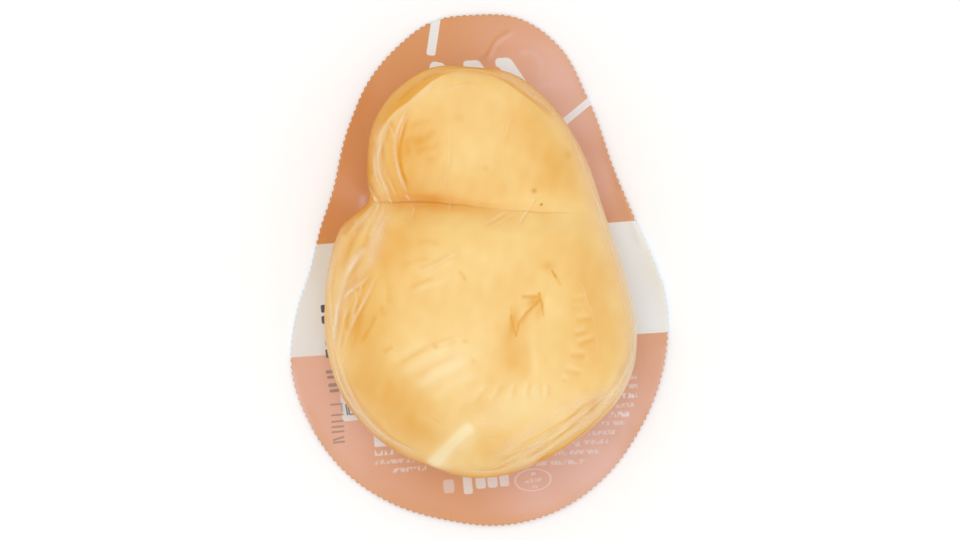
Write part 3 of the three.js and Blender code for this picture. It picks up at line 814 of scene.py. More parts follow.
# Its creases: path, half width, height.
FLANGE_CREASES = [
    ([(9.4, 64.3), (5.0, 62.0), (1.0, 58.6)], 1.0, 0.35),
    ([(36.0, 38.0), (38.0, 30.0), (41.5, 20.0)], 0.9, 0.25),
    ([(40.5, 22.0), (44.0, 12.0), (46.5, 4.0)], 0.9, 0.2),
]
RIPPLE_HEIGHT = 0.06
RIPPLE_SIZE = 18


def flange_lift(x, y):
    """How far the flange stands off the table: nothing at the cheese, a little at its edge."""
    degrees, share = flange_share(x, y, FOOT_INSET)
    share = np.clip(share, 0, 1)
    edge = EDGE_LIFT
    for count, phase, height in EDGE_WAVES:
        edge = edge + height * np.sin(count * np.radians(degrees) + phase)
    ripples = RIPPLE_HEIGHT * slow_waves(x, y, SEED, RIPPLE_SIZE) * smooth_step(share * 3)
    creases = strokes(x, y, FLANGE_CREASES) * smooth_step(share * 4)
    return np.maximum(edge * share ** 1.6 + ripples + creases, 0)


# Meshes.

EDGE_DEGREES, EDGE_RADII = pinked_edge()
MERIDIANS = EDGE_DEGREES[::2]
CHEESE_RADII = around(CHEESE_EDGE, MERIDIANS)
# How finely the meshes are made.
PROFILE_SAMPLES = 260
RINGS_OUTSIDE_CREASE = 112
RINGS_INSIDE_CREASE = 84
CHEESE_WALL_RINGS = 14
FILM_WALL_RINGS = 12
FILM_FOOT_RINGS = 4
FLANGE_RINGS = 7
PRINT_RINGS = 19
PRINT_MIDDLE_RINGS = (0.75, 0.5, 0.25)
# How a profile's samples crowd at the outline, and at the centre.
OUTER_CROWDING = 2
INNER_CROWDING = 1.3
# How far in from the outline its distance is measured along the radius.
EXACT_REACH = 1.0
# The ring along the neck's crease: the directions it spans, how it eases out of them and where
# it rests, as a share of the radius; then how the crease is looked for.
CREASE_SPAN = (34.0, 137.0)
CREASE_EASE = 50.0
RING_REST = 0.6
CREASE_START = 25.0
CREASE_ROUNDS = 30
# How far the cheese lies under the drawn surface, at its walls and on top, and its own marks.
FILM_GAP = 0.08
TOP_GAP = 0.30
WALL_FADE = 1.2
DENT_DEPTH = 0.40
RIB_DEPTH = 0.12
FOLD_HEIGHT = 0.18
BUMP_HEIGHT = 0.10
BUMP_SIZE = 11
# The cheese's lower edge: its base, and inset from the wall and height over the base.
BASE_HEIGHT = PRINTED_FILM_THICKNESS + 0.05
LOWER_EDGE = [(0.1, 1.6), (0.4, 0.7), (1.2, 0.15), (2.4, 0.0)]
# How far the clear film stands off the drawn surface: everywhere, and by what it shows there.
FILM_LIFT = 0.03
SMOOTH_LIFT = 0.02
WAVE_HEIGHT = 0.03
WAVE_SIZE = 4
STREAK_HEIGHT = 0.16
RIM_HEIGHT = 0.25
RIM_HALF_WIDTH = 0.7
HAZE_HEIGHT = 0.2
CREASE_HEIGHT = 0.32
CREASE_HALF_WIDTH = 0.6
# The pleats round the belly: how many steps of the noise go round, their length and rise.
PLEATS = 2 * LATTICE
PLEAT_LENGTH = 30.0
PLEAT_HALF_WIDTH = 0.16
PLEAT_RISE = 0.22


def crease_share(degrees):
    """Where a line from the centre crosses the neck's crease, as a share of the radius."""
    middle = sum(CREASE_SPAN) / 2
    degrees = (degrees - middle + 180) % 360 - 180 + middle
    held = np.clip(degrees, *CREASE_SPAN)
    radius = np.full(np.shape(held), CREASE_START)
    for _ in range(CREASE_ROUNDS):
        x = point_at(held, radius)[0]
        radius = (neck_y(x) - CENTRE[1]) / np.sin(np.radians(held))
    share = radius / around(CHEESE_EDGE, held)
    return share + (RING_REST - share) * smooth_step(np.abs(degrees - held) / CREASE_EASE)


def inward_distance(x, y, share):
    """Distance in from the widest contour; close to it, where it has to be exact, along the radius."""
    step = around(CHEESE_EDGE, MERIDIANS + 0.5) - around(CHEESE_EDGE, MERIDIANS - 0.5)
    slope = step / math.radians(1)
    radial = CHEESE_RADII * (1 - share) / np.hypot(1, slope / CHEESE_RADII)
    blend = smooth_step(radial / EXACT_REACH)
    return radial * (1 - blend) + contour_distance(x, y) * blend


def even_rings(grid):
    """The grid's meridians in even steps, down to the crease's ring and on to the centre."""
    steps = np.sqrt((np.diff(grid[:3], axis=1) ** 2).sum(0))
    length = np.vstack([np.zeros(len(MERIDIANS)), np.cumsum(steps, 0)])
    even = np.empty((len(grid), RINGS_OUTSIDE_CREASE + RINGS_INSIDE_CREASE, len(MERIDIANS)))
    for k, reached in enumerate(length.T):
        crease = reached[PROFILE_SAMPLES - 1]
        outer = np.linspace(0, crease, RINGS_OUTSIDE_CREASE, endpoint=False)
        inner = np.linspace(crease, reached[-1], RINGS_INSIDE_CREASE, endpoint=False)
        for row, values in enumerate(grid[:, :, k]):
            even[row, :, k] = np.interp(np.r_[outer, inner], reached, values)
    return even


def dome_grid(crease, fill):
    """Points over the cheese on even rings, from the widest contour inwards.

    One ring follows the neck's crease. `crease` is the sharp part's share of the neck's
    depth, and `fill` the share of the depth that a film drawn over the neck leaves open.
    """
    split = crease_share(MERIDIANS)
    down = np.linspace(0, 1, PROFILE_SAMPLES)[:, None]
    outside = 1 - (1 - split) * down ** OUTER_CROWDING
    inside = split * (1 - down[1:] ** INNER_CROWDING)
    share = np.concatenate([outside, inside])
    x, y = point_at(MERIDIANS, CHEESE_RADII * share)
    inward = inward_distance(x, y, share)
    reached = np.clip(inward / around(SHOULDER_WIDTH, MERIDIANS), 0, 1)
    power = around(SHOULDER_SQUARENESS, MERIDIANS)
    risen = (1 - (1 - reached) ** power) ** (1 / power)
    risen[0] = 0
    top = crown_height(x, y) - (1 - fill) * neck_depth(x, y, crease) + fold_rise(x, y)
    z = BELLY_HEIGHT + (top - BELLY_HEIGHT) * risen
    return even_rings(np.stack([x, y, z, inward, risen]))


def moved_outwards(x, y, z, reach):
    """The grid's points, each moved by its reach along the surface's normal."""
    points = np.stack([x, y, z], -1)
    across = np.roll(points, -1, 1) - np.roll(points, 1, 1)
    normal = np.cross(across, np.gradient(points, axis=0))
    return points + normal / np.linalg.norm(normal, axis=-1, keepdims=True) * reach[..., None]


def ring_points(degrees, radii, z):
    """A level ring of points round the centre."""
    x, y = point_at(degrees, radii)
    return np.stack([x, y, np.full(len(x), z)], -1)


def pleats(degrees, height):
    """1 on each pleat that the film has under the belly, and 0 between them."""
    noise = smooth_noise(degrees / 360 * PLEATS, height / PLEAT_LENGTH, SEED + 50)
    fade = smooth_step((BELLY_HEIGHT - height) / 6) * smooth_step((height - FLANGE_TOP - FOOT_HEIGHT) / 3)
    return fade * bell(noise, PLEAT_HALF_WIDTH)


def belly_profile(count, gap=0.0):
    """Inset and height from just below the widest contour down to the foot."""
    risen = 1 - np.arange(1, count + 1) / count
    foot_top = FLANGE_TOP + FOOT_HEIGHT
    height = foot_top + (BELLY_HEIGHT - foot_top) * risen
    return list(zip(TUCK * (1 - smooth_step(risen)) + gap, height))


def foot_profile(count):
    """Inset and height along the foot, which sweeps out from the belly to the flange."""
    turn = np.pi / 2 * (1 - np.arange(1, count + 1) / count)
    inset = TUCK - FOOT_SWEEP * (1 - np.sin(turn))
    return list(zip(inset, FLANGE_TOP + FOOT_HEIGHT * (1 - np.cos(turn))))


def wall_rings(profile, pleat_rise=0.0):
    """Rings round the cheese at each inset and height of a profile."""
    rings = []
    for inset, z in profile:
        radii = CHEESE_RADII - inset + pleat_rise * pleats(MERIDIANS, z)
        rings.append(ring_points(MERIDIANS, radii, z))
    return rings


def flange_ring(share, height):
    """A ring of a film's flange at a share of the way out; the outermost has the teeth."""
    outer = EDGE_RADII if share == 1 else around(PACK_EDGE, EDGE_DEGREES)
    inner = around(CHEESE_EDGE, EDGE_DEGREES) - FOOT_INSET
    x, y = point_at(EDGE_DEGREES, inner + (outer - inner) * share)
    return np.stack([x, y, height + flange_lift(x, y)], -1)


class Shape:
    """Collects points and faces of a mesh, and numbers to keep at each point."""

    def __init__(self):
        self.points = []
        self.count = 0
        self.faces = []

    def ring(self, points):
        first = self.count
        self.points.append(points)
        self.count += len(points)
        return np.arange(first, self.count)

    def middle(self, z):
        """The number of a new point above or below the centre."""
        return self.ring(np.array([[CENTRE[0], CENTRE[1], z]]))[0]

    def band(self, outer, inner):
        """Quads between two rings with the same count; outer to inner turns up to face out."""
        self.faces += np.stack([outer, np.roll(outer, -1), np.roll(inner, -1), inner], -1).tolist()

    def fine_band(self, coarse, fine):
        """Triangles from a ring to one with twice as many points outside it."""
        start, middle, end = fine[0::2], fine[1::2], np.roll(fine[0::2], -1)
        after = np.roll(coarse, -1)
        for triangle in ((coarse, start, middle), (coarse, middle, after), (after, middle, end)):
            self.faces += np.stack(triangle, -1).tolist()

    def fan(self, ring, tip):
        """Triangles from a ring to the single point `tip`."""
        self.faces += np.stack([ring, np.roll(ring, -1), np.full(len(ring), tip)], -1).tolist()

    def cover(self, rows, tip_z, facing_down=False):
        """Rings from the outside in, closed by a point in the middle; gives the outermost."""
        rings = [self.ring(row) for row in rows]
        for outer, inner in zip(rings, rings[1:]):
            if facing_down:
                outer, inner = inner, outer
            self.band(outer, inner)
        self.fan(rings[-1][::-1] if facing_down else rings[-1], self.middle(tip_z))
        return rings[0]

    def wall(self, above, rows):
        """Rings below or outside a ring, each joined to the one before; gives the last."""
        for row in rows:
            below = self.ring(row)
            self.band(below, above)
            above = below
        return above

    def places(self):
        return np.concatenate(self.points).T

    def mesh(self, name, attributes):
        made = bpy.data.meshes.new(name)
        made.from_pydata((self.places().T / 1000).tolist(), [], self.faces)
        made.polygons.foreach_set("use_smooth", [True] * len(made.polygons))
        for key, values in attributes:
            layer = made.attributes.new(key, "FLOAT", "POINT")
            layer.data.foreach_set("value", np.asarray(values, np.float32))
        made.update()
        thing = bpy.data.objects.new(name, made)
        bpy.context.scene.collection.objects.link(thing)
        return thing


def pad(values, count, empty=0.0):
    """Values for the dome's points, and `empty` for the points that come after them."""
    flat = np.ravel(values)
    return np.r_[flat, np.full(count - flat.size, empty)]


def crease_layers(x, y, count):
    """The crease attributes of the dome's points, padded to all the points of a mesh."""
    layers = []
    for key, values in crease_attributes(x, y).items():
        layers.append((key, pad(values, count, FAR if key.startswith("crease") else 0.0)))
    return layers


def cheese_depth(x, y, inward, risen):
    """How far the cheese lies under the drawn surface, with its own dents, ribs and folds."""
    dents = DENT_DEPTH * spots(x, y, PINCH_DENTS) + RIB_DEPTH * strokes(x, y, RIBS)
    dents -= FOLD_HEIGHT * strokes(x, y, BROAD_FOLDS)
    dents *= smooth_step((risen - 0.85) / 0.1)
    top = smooth_step((risen - 0.3) / 0.6)
    bumps = BUMP_HEIGHT * slow_waves(x, y, SEED + 1, BUMP_SIZE) * top
    return FILM_GAP + (TOP_GAP - FILM_GAP) * top + (dents - bumps) * smooth_step(inward / WALL_FADE)


def cheese_layers(dome, px, py, pz):
    """The numbers that the cheese's material reads at its points."""
    x, y, _, inward, _ = dome
    count, tip = len(px), x.size
    px[:tip], py[:tip] = x.ravel(), y.ravel()
    turn, depth = degrees_of(px, py), pad(inward, count)
    depth[tip] = inward.max()
    sunk = smooth_step((BELLY_HEIGHT - pz) / 9)
    amber = amber_share(px, py, turn, depth)
    edge_away = depth + np.maximum(BELLY_HEIGHT - pz, 0) / 16
    edge_line = around(EDGE_LINE, turn) * bell(edge_away, EDGE_LINE_WIDTH)
    rim_away, rim_weight = rim_layers(x, y)
    return crease_layers(x, y, count) + [
        # Under the belly the amber is painted shade as well as rind colour.
        ("amber", amber + (BELLY_AMBER - amber) * sunk),
        ("pale", pale_share(px, py, turn, depth) * (1 - sunk)),
        ("rim_away", pad(rim_away, count, -FAR)),
        ("rim_weight", pad(rim_weight, count)),
        ("neck_away", pad(y - neck_y(x), count, FAR)),
        ("neck_line", pad(np.interp(x, *zip(*NECK_LINE)), count)),
        # Painted shade along the outline and in the rim's folds.
        ("edge_line", np.maximum(edge_line, strokes(px, py, RIM_SHADOWS) * (1 - sunk))),
    ]


def make_cheese(dome):
    """The cheese itself: two lobes, the neck between them and its own marks."""
    x, y, z, inward, risen = dome
    shape = Shape()
    points = moved_outwards(x, y, z, -cheese_depth(x, y, inward, risen))
    widest = shape.cover(points, crown_height(*CENTRE) - TOP_GAP)
    profile = belly_profile(CHEESE_WALL_RINGS, FILM_GAP)
    profile += [(TUCK + FILM_GAP + inset, BASE_HEIGHT + over) for inset, over in LOWER_EDGE]
    foot = shape.wall(widest, wall_rings(profile))
    shape.fan(foot[::-1], shape.middle(BASE_HEIGHT))
    return shape.mesh("scamorza", cheese_layers(dome, *shape.places()))


def film_lift(x, y, inward, streaks):
    """How far the clear film stands off the drawn surface along its creases and folds."""
    ridges = [(path, CREASE_HALF_WIDTH, strength) for path, _, strength in FILM_CREASES]
    lift = SMOOTH_LIFT + WAVE_HEIGHT * slow_waves(x, y, SEED + 4, WAVE_SIZE)
    lift += CREASE_HEIGHT * strokes(x, y, ridges) + STREAK_HEIGHT * streaks
    lift += RIM_HEIGHT * stroke(x, y, HEAD_RIM, RIM_HALF_WIDTH)
    lift += HAZE_HEIGHT * strokes(x, y, HAZE_STROKES)
    return FILM_LIFT + lift * smooth_step(inward / WALL_FADE)


def film_layers(dome, streaks, px, py, pz):
    """The numbers that the clear film's material reads at its points."""
    x, y, _, inward, _ = dome
    # Painted reflection at the foot of the walls, then the streaks and strokes, partly milky film and
    # partly painted highlights.
    over = around(WALL_REFLECTION, MERIDIANS) * bell(inward, around(WALL_REFLECTION_REACH, MERIDIANS))
    over += STREAK_HAZE * streaks + STROKE_HAZE * strokes(x, y, HAZE_STROKES)
    turn = degrees_of(px, py)
    # Down the belly the same painted reflection, fading.
    under = around(WALL_REFLECTION, turn) * (1 - 0.6 * smooth_step((BELLY_HEIGHT - pz) / 8))
    under += PLEAT_HAZE * pleats(turn, pz)
    under *= smooth_step((pz - FLANGE_TOP - 0.3) / 1.5)
    # On the flange the film carries the painted reflection of the cool sheen.
    on_flange = pz < FLANGE_TOP + 0.5 * FOOT_HEIGHT
    veil = np.where(on_flange, SHEEN_VEIL * flange_sheen(px, py), 0.0)
    # Milky film and painted highlights, kept as one attribute.
    haze_and_highlight = np.r_[over.ravel(), 0.0, under[x.size + 1:]]
    return crease_layers(x, y, len(px)) + [("veil", veil), ("haze_and_highlight", haze_and_highlight)]


def make_clear_film(dome):
    """The clear film: tight over the cheese, down round its belly and out to the cut edge."""
    x, y, z, inward, _ = dome
    streaks = wall_streaks(np.broadcast_to(MERIDIANS, x.shape), inward)[0]
    shape = Shape()
    points = moved_outwards(x, y, z, film_lift(x, y, inward, streaks))
    widest = shape.cover(points, crown_height(*CENTRE) + FILM_LIFT + SMOOTH_LIFT)
    profile = belly_profile(FILM_WALL_RINGS) + foot_profile(FILM_FOOT_RINGS)
    foot = shape.wall(widest, wall_rings(profile, PLEAT_RISE))
    first, *others = [flange_ring(k / FLANGE_RINGS, FLANGE_TOP) for k in range(1, FLANGE_RINGS + 1)]
    inner = shape.ring(first)
    shape.fine_band(foot, inner)
    shape.wall(inner, others)
    return shape.mesh("clear_film", film_layers(dome, streaks, *shape.places()))


def make_printed_film():
    """The printed film: a thin sheet with the pinked edge, flat under the cheese."""
    foot = around(CHEESE_EDGE, EDGE_DEGREES) - FOOT_INSET
    shape = Shape()
    edges = []
    for height in (PRINTED_FILM_THICKNESS, 0.0):
        rows = [flange_ring(share, height) for share in np.linspace(0, 1, PRINT_RINGS)[::-1]]
        rows += [ring_points(EDGE_DEGREES, foot * share, height) for share in PRINT_MIDDLE_RINGS]
        edges.append(shape.cover(rows, height, facing_down=height == 0))
    top, bottom = edges
    shape.band(bottom, top)
    x, y, _ = shape.places()
    return shape.mesh("print_sheet", [("sheen", flange_sheen(x, y))])


# Materials.

def srgb(red, green, blue):
    """A colour read off as 0 to 255, as the linear colour that a shader takes."""
    def linear(value):
        part = value / 255
        return part / 12.92 if part <= 0.04045 else ((part + 0.055) / 1.055) ** 2.4

    return (linear(red), linear(green), linear(blue), 1.0)


def feed(tree, socket, value):
    """Links a value that nodes work out to a socket, or sets a plain one on it."""
    value = getattr(value, "socket", value)
    if isinstance(value, bpy.types.NodeSocket):
        tree.links.new(value, socket)
    else:
        socket.default_value = value


class Value:
    """A number that a material's nodes work out. Its methods add nodes that work out others."""

    def __init__(self, tree, socket):
        self.tree = tree
        self.socket = socket

    def reckon(self, operation, *others):
        node = self.tree.nodes.new("ShaderNodeMath")
        node.operation = operation
        for socket, value in zip(node.inputs, (self, *others)):
            feed(self.tree, socket, value)
        return Value(self.tree, node.outputs[0])

    def __add__(self, other):
        return self.reckon("ADD", other)

    def __sub__(self, other):
        return self.reckon("SUBTRACT", other)

    def __mul__(self, other):
        return self.reckon("MULTIPLY", other)

    def __truediv__(self, other):
        return self.reckon("DIVIDE", other)

    def __abs__(self):
        return self.reckon("ABSOLUTE")

    def at_least(self, other):
        return self.reckon("MAXIMUM", other)

    def at_most(self, other):
        return self.reckon("MINIMUM", other)

    def scaled(self, factor, start):
        """The value times a factor, plus a start."""
        return self.reckon("MULTIPLY_ADD", factor, start)

    def clamped(self):
        """The same value, held between 0 and 1 by the node that works it out."""
        self.socket.node.use_clamp = True
        return self

    def bell(self, half_width):
        """1 where the value is 0, falling off smoothly to both sides."""
        near = self / half_width
        return (near * near * -1.0).reckon("EXPONENT")

    def hypot(self, other):
        return (self * self + other * other).reckon("SQRT")


class Graph:
    """Short ways to add and join the nodes of a material, and the place on it in millimetres."""

    def __init__(self, name):
        self.material = bpy.data.materials.new(name)
        self.material.use_nodes = True
        self.tree = self.material.node_tree
        self.tree.nodes.clear()
        self.place = self.add("TexCoord").outputs["Object"]
        across, up, _ = self.add("SeparateXYZ", Vector=self.place).outputs
        self.x = Value(self.tree, across) * 1000.0
        self.y = Value(self.tree, up) * 1000.0

    def add(self, kind, **inputs):
        node = self.tree.nodes.new("ShaderNode" + kind)
        for key, value in inputs.items():
            feed(self.tree, node.inputs[key.replace("_", " ")], value)
        return node

    def noise(self, scale, detail=2.0, place=None):
        node = self.add("TexNoise", Vector=place or self.place, Scale=scale, Detail=detail)
        return Value(self.tree, node.outputs["Fac"])

    def attribute(self, name):
        node = self.add("Attribute")
        node.attribute_name = name
        return Value(self.tree, node.outputs["Fac"])

    def mix(self, factor, first, second):
        node = self.add("Mix")
        node.data_type = "RGBA"
        for number, value in ((0, factor), (6, first), (7, second)):
            feed(self.tree, node.inputs[number], value)
        return node.outputs[2]

    def mix_shaders(self, factor, first, second):
        node = self.add("MixShader", Fac=factor)
        feed(self.tree, node.inputs[1], first)
        feed(self.tree, node.inputs[2], second)
        return node.outputs[0]

    def principled(self, colour, roughness, **inputs):
        return self.add("BsdfPrincipled", Base_Color=colour, Roughness=roughness, **inputs).outputs[0]

    def finish(self, shader):
        self.add("OutputMaterial", Surface=shader)
        return self.material


EDGE_CRISPNESS = 5.0


def largest(first, *others):
    """At each place the largest of the values."""
    for other in others:
        first = first.at_least(other)
    return first


def crease_lines(g, offset, width):
    """Thin lines along the film's creases; offset and width are in half widths of a crease."""
    total = 0.0
    for number in range(CREASE_GROUPS):
        line = (g.attribute(f"crease_{number}") - offset).bell(width)
        total = line.scaled(g.attribute(f"strength_{number}"), total)
    return total


def box_masks(g, table):
    """Rounded boxes with a crisp edge: middle, half size, turn, corner radius, strength."""
    masks = []
    for middle, half, turn, corner, strength in table:
        along, across = turned(g.x, g.y, middle, turn)
        past = (abs(along) - (half[0] - corner)).at_least(0.0)
        beyond = (abs(across) - (half[1] - corner)).at_least(0.0)
        inside = (past.hypot(beyond) - corner).scaled(-EDGE_CRISPNESS, 0.5).clamped()
        masks.append(inside * strength)
    return masks


def line_masks(x, y, table):
    """Short straight lines that fall off softly: start, end, half width, strength."""
    masks = []
    for start, end, half_width, strength in table:
        middle, length, turn = straight(start, end)
        along, across = turned(x, y, middle, turn)
        past = (abs(along) - length / 2).at_least(0.0)
        masks.append(past.hypot(across).bell(half_width) * strength)
    return masks


# Fine lines on the cheese: start, end, half width, strength.
PINCH_LINES = [
    ((8.8, -10.1), (8.7, -12.4), 0.55, 0.55),
    ((8.7, -12.4), (9.2, -15.1), 0.62, 0.9),
    ((9.2, -15.1), (9.9, -17.9), 0.55, 0.9),
    ((9.9, -17.9), (10.8, -14.2), 0.5, 0.85),
    ((10.8, -14.2), (13.0, -11.7), 0.55, 0.8),
    ((13.0, -11.7), (15.2, -9.6), 0.65, 0.85),
    ((15.2, -9.6), (16.4, -8.4), 0.9, 0.9),
    ((12.1, -7.4), (14.3, -7.6), 0.75, 0.68),
    ((14.3, -7.6), (16.2, -7.6), 0.9, 0.8),
    ((16.4, -6.6), (16.9, -8.7), 0.55, 0.85),
    ((16.9, -8.7), (17.1, -10.7), 0.6, 0.8),
    ((17.1, -10.7), (17.4, -12.4), 0.48, 0.68),
    ((20.1, -0.6), (21.1, -2.4), 0.52, 0.85),
    ((21.1, -2.4), (22.2, -4.2), 0.45, 0.5),
    ((-3.9, -1.4), (-3.2, -3.0), 0.34, 0.3),
]
DARK_SPECKS = [
    ((17.7, 17.3), (17.9, 17.5), 0.26, 0.9),
    ((15.9, 21.1), (16.0, 21.1), 0.5, 0.25),
]

# How far the rind's mottling and the pinch's wobble swing, and how crisp the other lines are.
MOTTLE = 0.2
WOBBLE = 0.6
NECK_LINE_WIDTH = 0.20
RIM_CRISPNESS = 1.6
# The painted shade, in amber, beside each crease of the film: where, how wide and how strong.
CREASE_SHADE = dict(offset=1.7, width=1.0)
CREASE_SHADE_SHARE = 0.22

STRAW = srgb(251, 219, 150)
AMBER = srgb(228, 158, 36)
PALE = srgb(253, 232, 184)
RUST_SHADE = srgb(214, 134, 22)
BROWN = srgb(178, 98, 16)


def cheese_material():
    """Smoked rind: pale straw on top, amber down the sides, faintly mottled; partly painted light and
    shade.
    """
    g = Graph("smoked_rind")
    broad = g.noise(120.0, 4.0)
    uneven_x = g.x + g.noise(700.0).scaled(WOBBLE, -WOBBLE / 2)
    pinch = largest(*line_masks(uneven_x, g.y, PINCH_LINES))
    # Outside the head's shoulder: amber, partly painted shade.
    outside = g.attribute("rim_away").scaled(RIM_CRISPNESS, 0.5).clamped()
    outside = outside * g.attribute("rim_weight")
    amber = broad.scaled(MOTTLE, g.attribute("amber") - MOTTLE / 2)
    # Painted shade in amber beside the film's creases.
    amber = crease_lines(g, **CREASE_SHADE).scaled(CREASE_SHADE_SHARE, amber).at_most(1.0)
    colour = g.mix(largest(amber, pinch, outside).clamped(), STRAW, AMBER)
    colour = g.mix(g.attribute("pale"), colour, PALE)
    # Painted shade along the outline and in the head's rim folds.
    colour = g.mix(g.attribute("edge_line"), colour, RUST_SHADE)
    # Painted shade: a dark line along the neck's crease.
    neck_line = (broad + (g.attribute("neck_away") - 0.5)).bell(NECK_LINE_WIDTH)
    neck_line = neck_line * g.attribute("neck_line")
    dark = largest(neck_line, *line_masks(g.x, g.y, DARK_SPECKS))
    colour = g.mix(dark, colour, BROWN)
    bump = g.add("Bump", Strength=0.12, Distance=0.0003, Height=g.noise(900.0, 3.0))
    return g.finish(g.principled(
        colour, 0.6, Normal=bump.outputs["Normal"], Specular_IOR_Level=0.05,
        Subsurface_Weight=0.12, Subsurface_Radius=(1.0, 0.7, 0.35), Subsurface_Scale=0.003,
    ))


MOST_GLOSS = 0.045
MOST_HAZE = 0.9
# Painted highlights along the film's creases: their width and share, and below, their colour.
GLINT_WIDTH = 0.9
GLINT_SHARE = 0.42
CLEAR = (0.995, 0.993, 0.985, 1)
WHITE = (1, 1, 1, 1)
# The warm colour of the film's milkiness and of the highlights painted on it.
WARM_HAZE_AND_HIGHLIGHT = (1.0, 0.85, 0.57, 1)
# The colour of the painted sheen on the film's flange.
COOL_SHEEN = (0.88, 0.78, 0.88, 1)
GLINT = (1.0, 0.91, 0.72, 1)


def film_material():
    """Clear film: see-through and glossy, pale where it is milky, with painted highlights along its
    creases and a painted sheen.
    """
    g = Graph("clear_film")
    fresnel = Value(g.tree, g.add("Fresnel", IOR=1.25).outputs[0])
    clear = g.add("BsdfTransparent", Color=CLEAR).outputs[0]
    gloss = g.add("BsdfGlossy", Color=WHITE, Roughness=0.16).outputs[0]
    film = g.mix_shaders(fresnel.at_most(MOST_GLOSS), clear, gloss)
    # Painted highlights along the creases.
    glint = crease_lines(g, 0.0, GLINT_WIDTH) * GLINT_SHARE
    # The veil is the painted reflection of the sheen on the flange.
    cool = g.attribute("veil")
    total = (g.attribute("haze_and_highlight") + cool + glint).at_least(0.001)
    colour = g.mix(cool / total, WARM_HAZE_AND_HIGHLIGHT, COOL_SHEEN)
    colour = g.mix(glint / total, colour, GLINT)
    return g.finish(g.mix_shaders(total.at_most(MOST_HAZE), film, g.principled(colour, 0.35)))


# The print, in millimetres on the sheet: a leaning white band, plain bars and patches.
# Each edge of the band: its height in the middle of the sheet, and its slope.
BAND_BOTTOM = (-20.8, 0.041)
BAND_TOP = (10.6, 0.048)
# The white ink's two tints, mixed warmer to the left and cooler to the right as a painted reflection of
# the light.
WARM_WHITE = srgb(230, 230, 226)
COOL_WHITE = srgb(240, 247, 252)
DARK_INK = srgb(40, 26, 34)
# Bars and patches: middle, half size, turn in degrees, corner radius, strength.
WHITE_SHAPES = [
    ((-10.6, 65.8), (1.25, 5.4), -10, 0.7, 1.0),
    ((29.2, 43.9), (5.4, 1.0), 38, 0.3, 1.0),
    ((-10.0, 56.0), (2.2, 2.6), -14, 1.4, 1.0),
    ((-0.2, 55.9), (2.2, 2.9), 2, 0.9, 1.0),
    ((2.3, 55.9), (2.9, 1.3), -56, 0.9, 1.0),
    ((8.6, 58.0), (2.1, 1.3), 2, 1.0, 1.0),
    ((11.4, 54.4), (4.5, 2.05), -57, 1.0, 1.0),
    ((-35.9, -37.2), (3.2, 3.9), 4, 0.2, 1.0),
    ((-27.0, -46.4), (3.2, 2.1), 3, 0.2, 1.0),
]
# Bold blocks in the place of the weight mark.
BOLD_BLOCKS = [
    ((-9.6, -60.2), (1.5, 1.9), 4, 0.8, 0.45),
    ((-4.3, -59.8), (1.25, 2.7), 4, 0.6, 0.75),
    ((-0.7, -58.8), (1.4, 2.3), 4, 0.8, 0.75),
    ((2.6, -58.6), (1.4, 2.3), 4, 0.8, 0.75),
    ((5.9, -58.3), (1.3, 2.3), 4, 0.5, 0.75),
]
# Plain dark blocks in the place of the date code.
DATE_BLOCKS = [
    ((-43.4, -9.6), (0.7, 1.1), 4, 0.4, 1.0),
    ((-43.3, -12.7), (0.7, 1.1), 4, 0.4, 1.0),
    ((-42.7, -19.2), (0.4, 0.6), 4, 0.2, 0.8),
    ((-42.6, -22.2), (0.5, 1.2), 4, 0.2, 1.0),
    ((-42.1, -27.3), (1.1, 0.45), 4, 0.4, 0.62),
    ((-41.7, -28.8), (1.2, 0.4), 4, 0.4, 0.62),
    ((-41.3, -31.0), (1.3, 0.5), 4, 0.4, 0.6),
    ((-40.9, -32.6), (1.4, 0.45), 4, 0.4, 0.6),
    ((-40.4, -36.4), (1.8, 0.25), 4, 0.2, 0.5),
    ((-38.9, -37.6), (0.25, 1.1), 4, 0.2, 0.5),
    ((-40.1, -46.0), (1.7, 0.28), 16, 0.25, 0.5),
    ((-40.0, -47.0), (1.7, 0.28), 4, 0.25, 0.5),
    ((-37.6, -38.0), (0.22, 1.6), 8, 0.1, 0.85),
    ((-37.0, -38.3), (0.22, 1.2), 8, 0.1, 0.85),
    ((-36.0, -39.3), (0.7, 0.22), 8, 0.1, 0.8),
] + [((-40.2, y), (1.8, 0.28), 4, 0.25, 0.5) for y in (-39.4, -41.2, -42.7, -44.1)]
# Rows of small lettering, shown as plain broken bars: left end, right end, half height, strength.
TEXT_ROWS = [
    ((-30.1, -50.4), (-23.8, -50.0), 0.8, 0.75),
    ((-30.2, -53.0), (-19.1, -52.6), 0.6, 0.5),
    ((-25.2, -55.4), (-15.8, -54.9), 0.6, 0.55),
    ((41.1, -31.0), (43.8, -30.9), 0.6, 0.45),
    ((40.8, -33.6), (44.0, -33.5), 0.6, 0.45),
    ((38.5, -36.2), (43.6, -36.0), 0.75, 0.75),
    ((37.5, -38.9), (42.7, -38.7), 0.6, 0.45),
    ((35.8, -41.4), (41.5, -41.2), 0.75, 0.75),
    ((32.9, -43.8), (40.1, -43.6), 0.6, 0.45),
    ((29.9, -46.4), (37.3, -46.2), 0.6, 0.45),
    ((28.2, -48.9), (35.4, -48.7), 0.6, 0.45),
    ((23.6, -49.3), (27.4, -49.2), 0.8, 0.5),
    ((18.5, -51.8), (32.7, -51.5), 0.6, 0.5),
    ((14.9, -54.5), (28.7, -54.2), 0.6, 0.5),
]
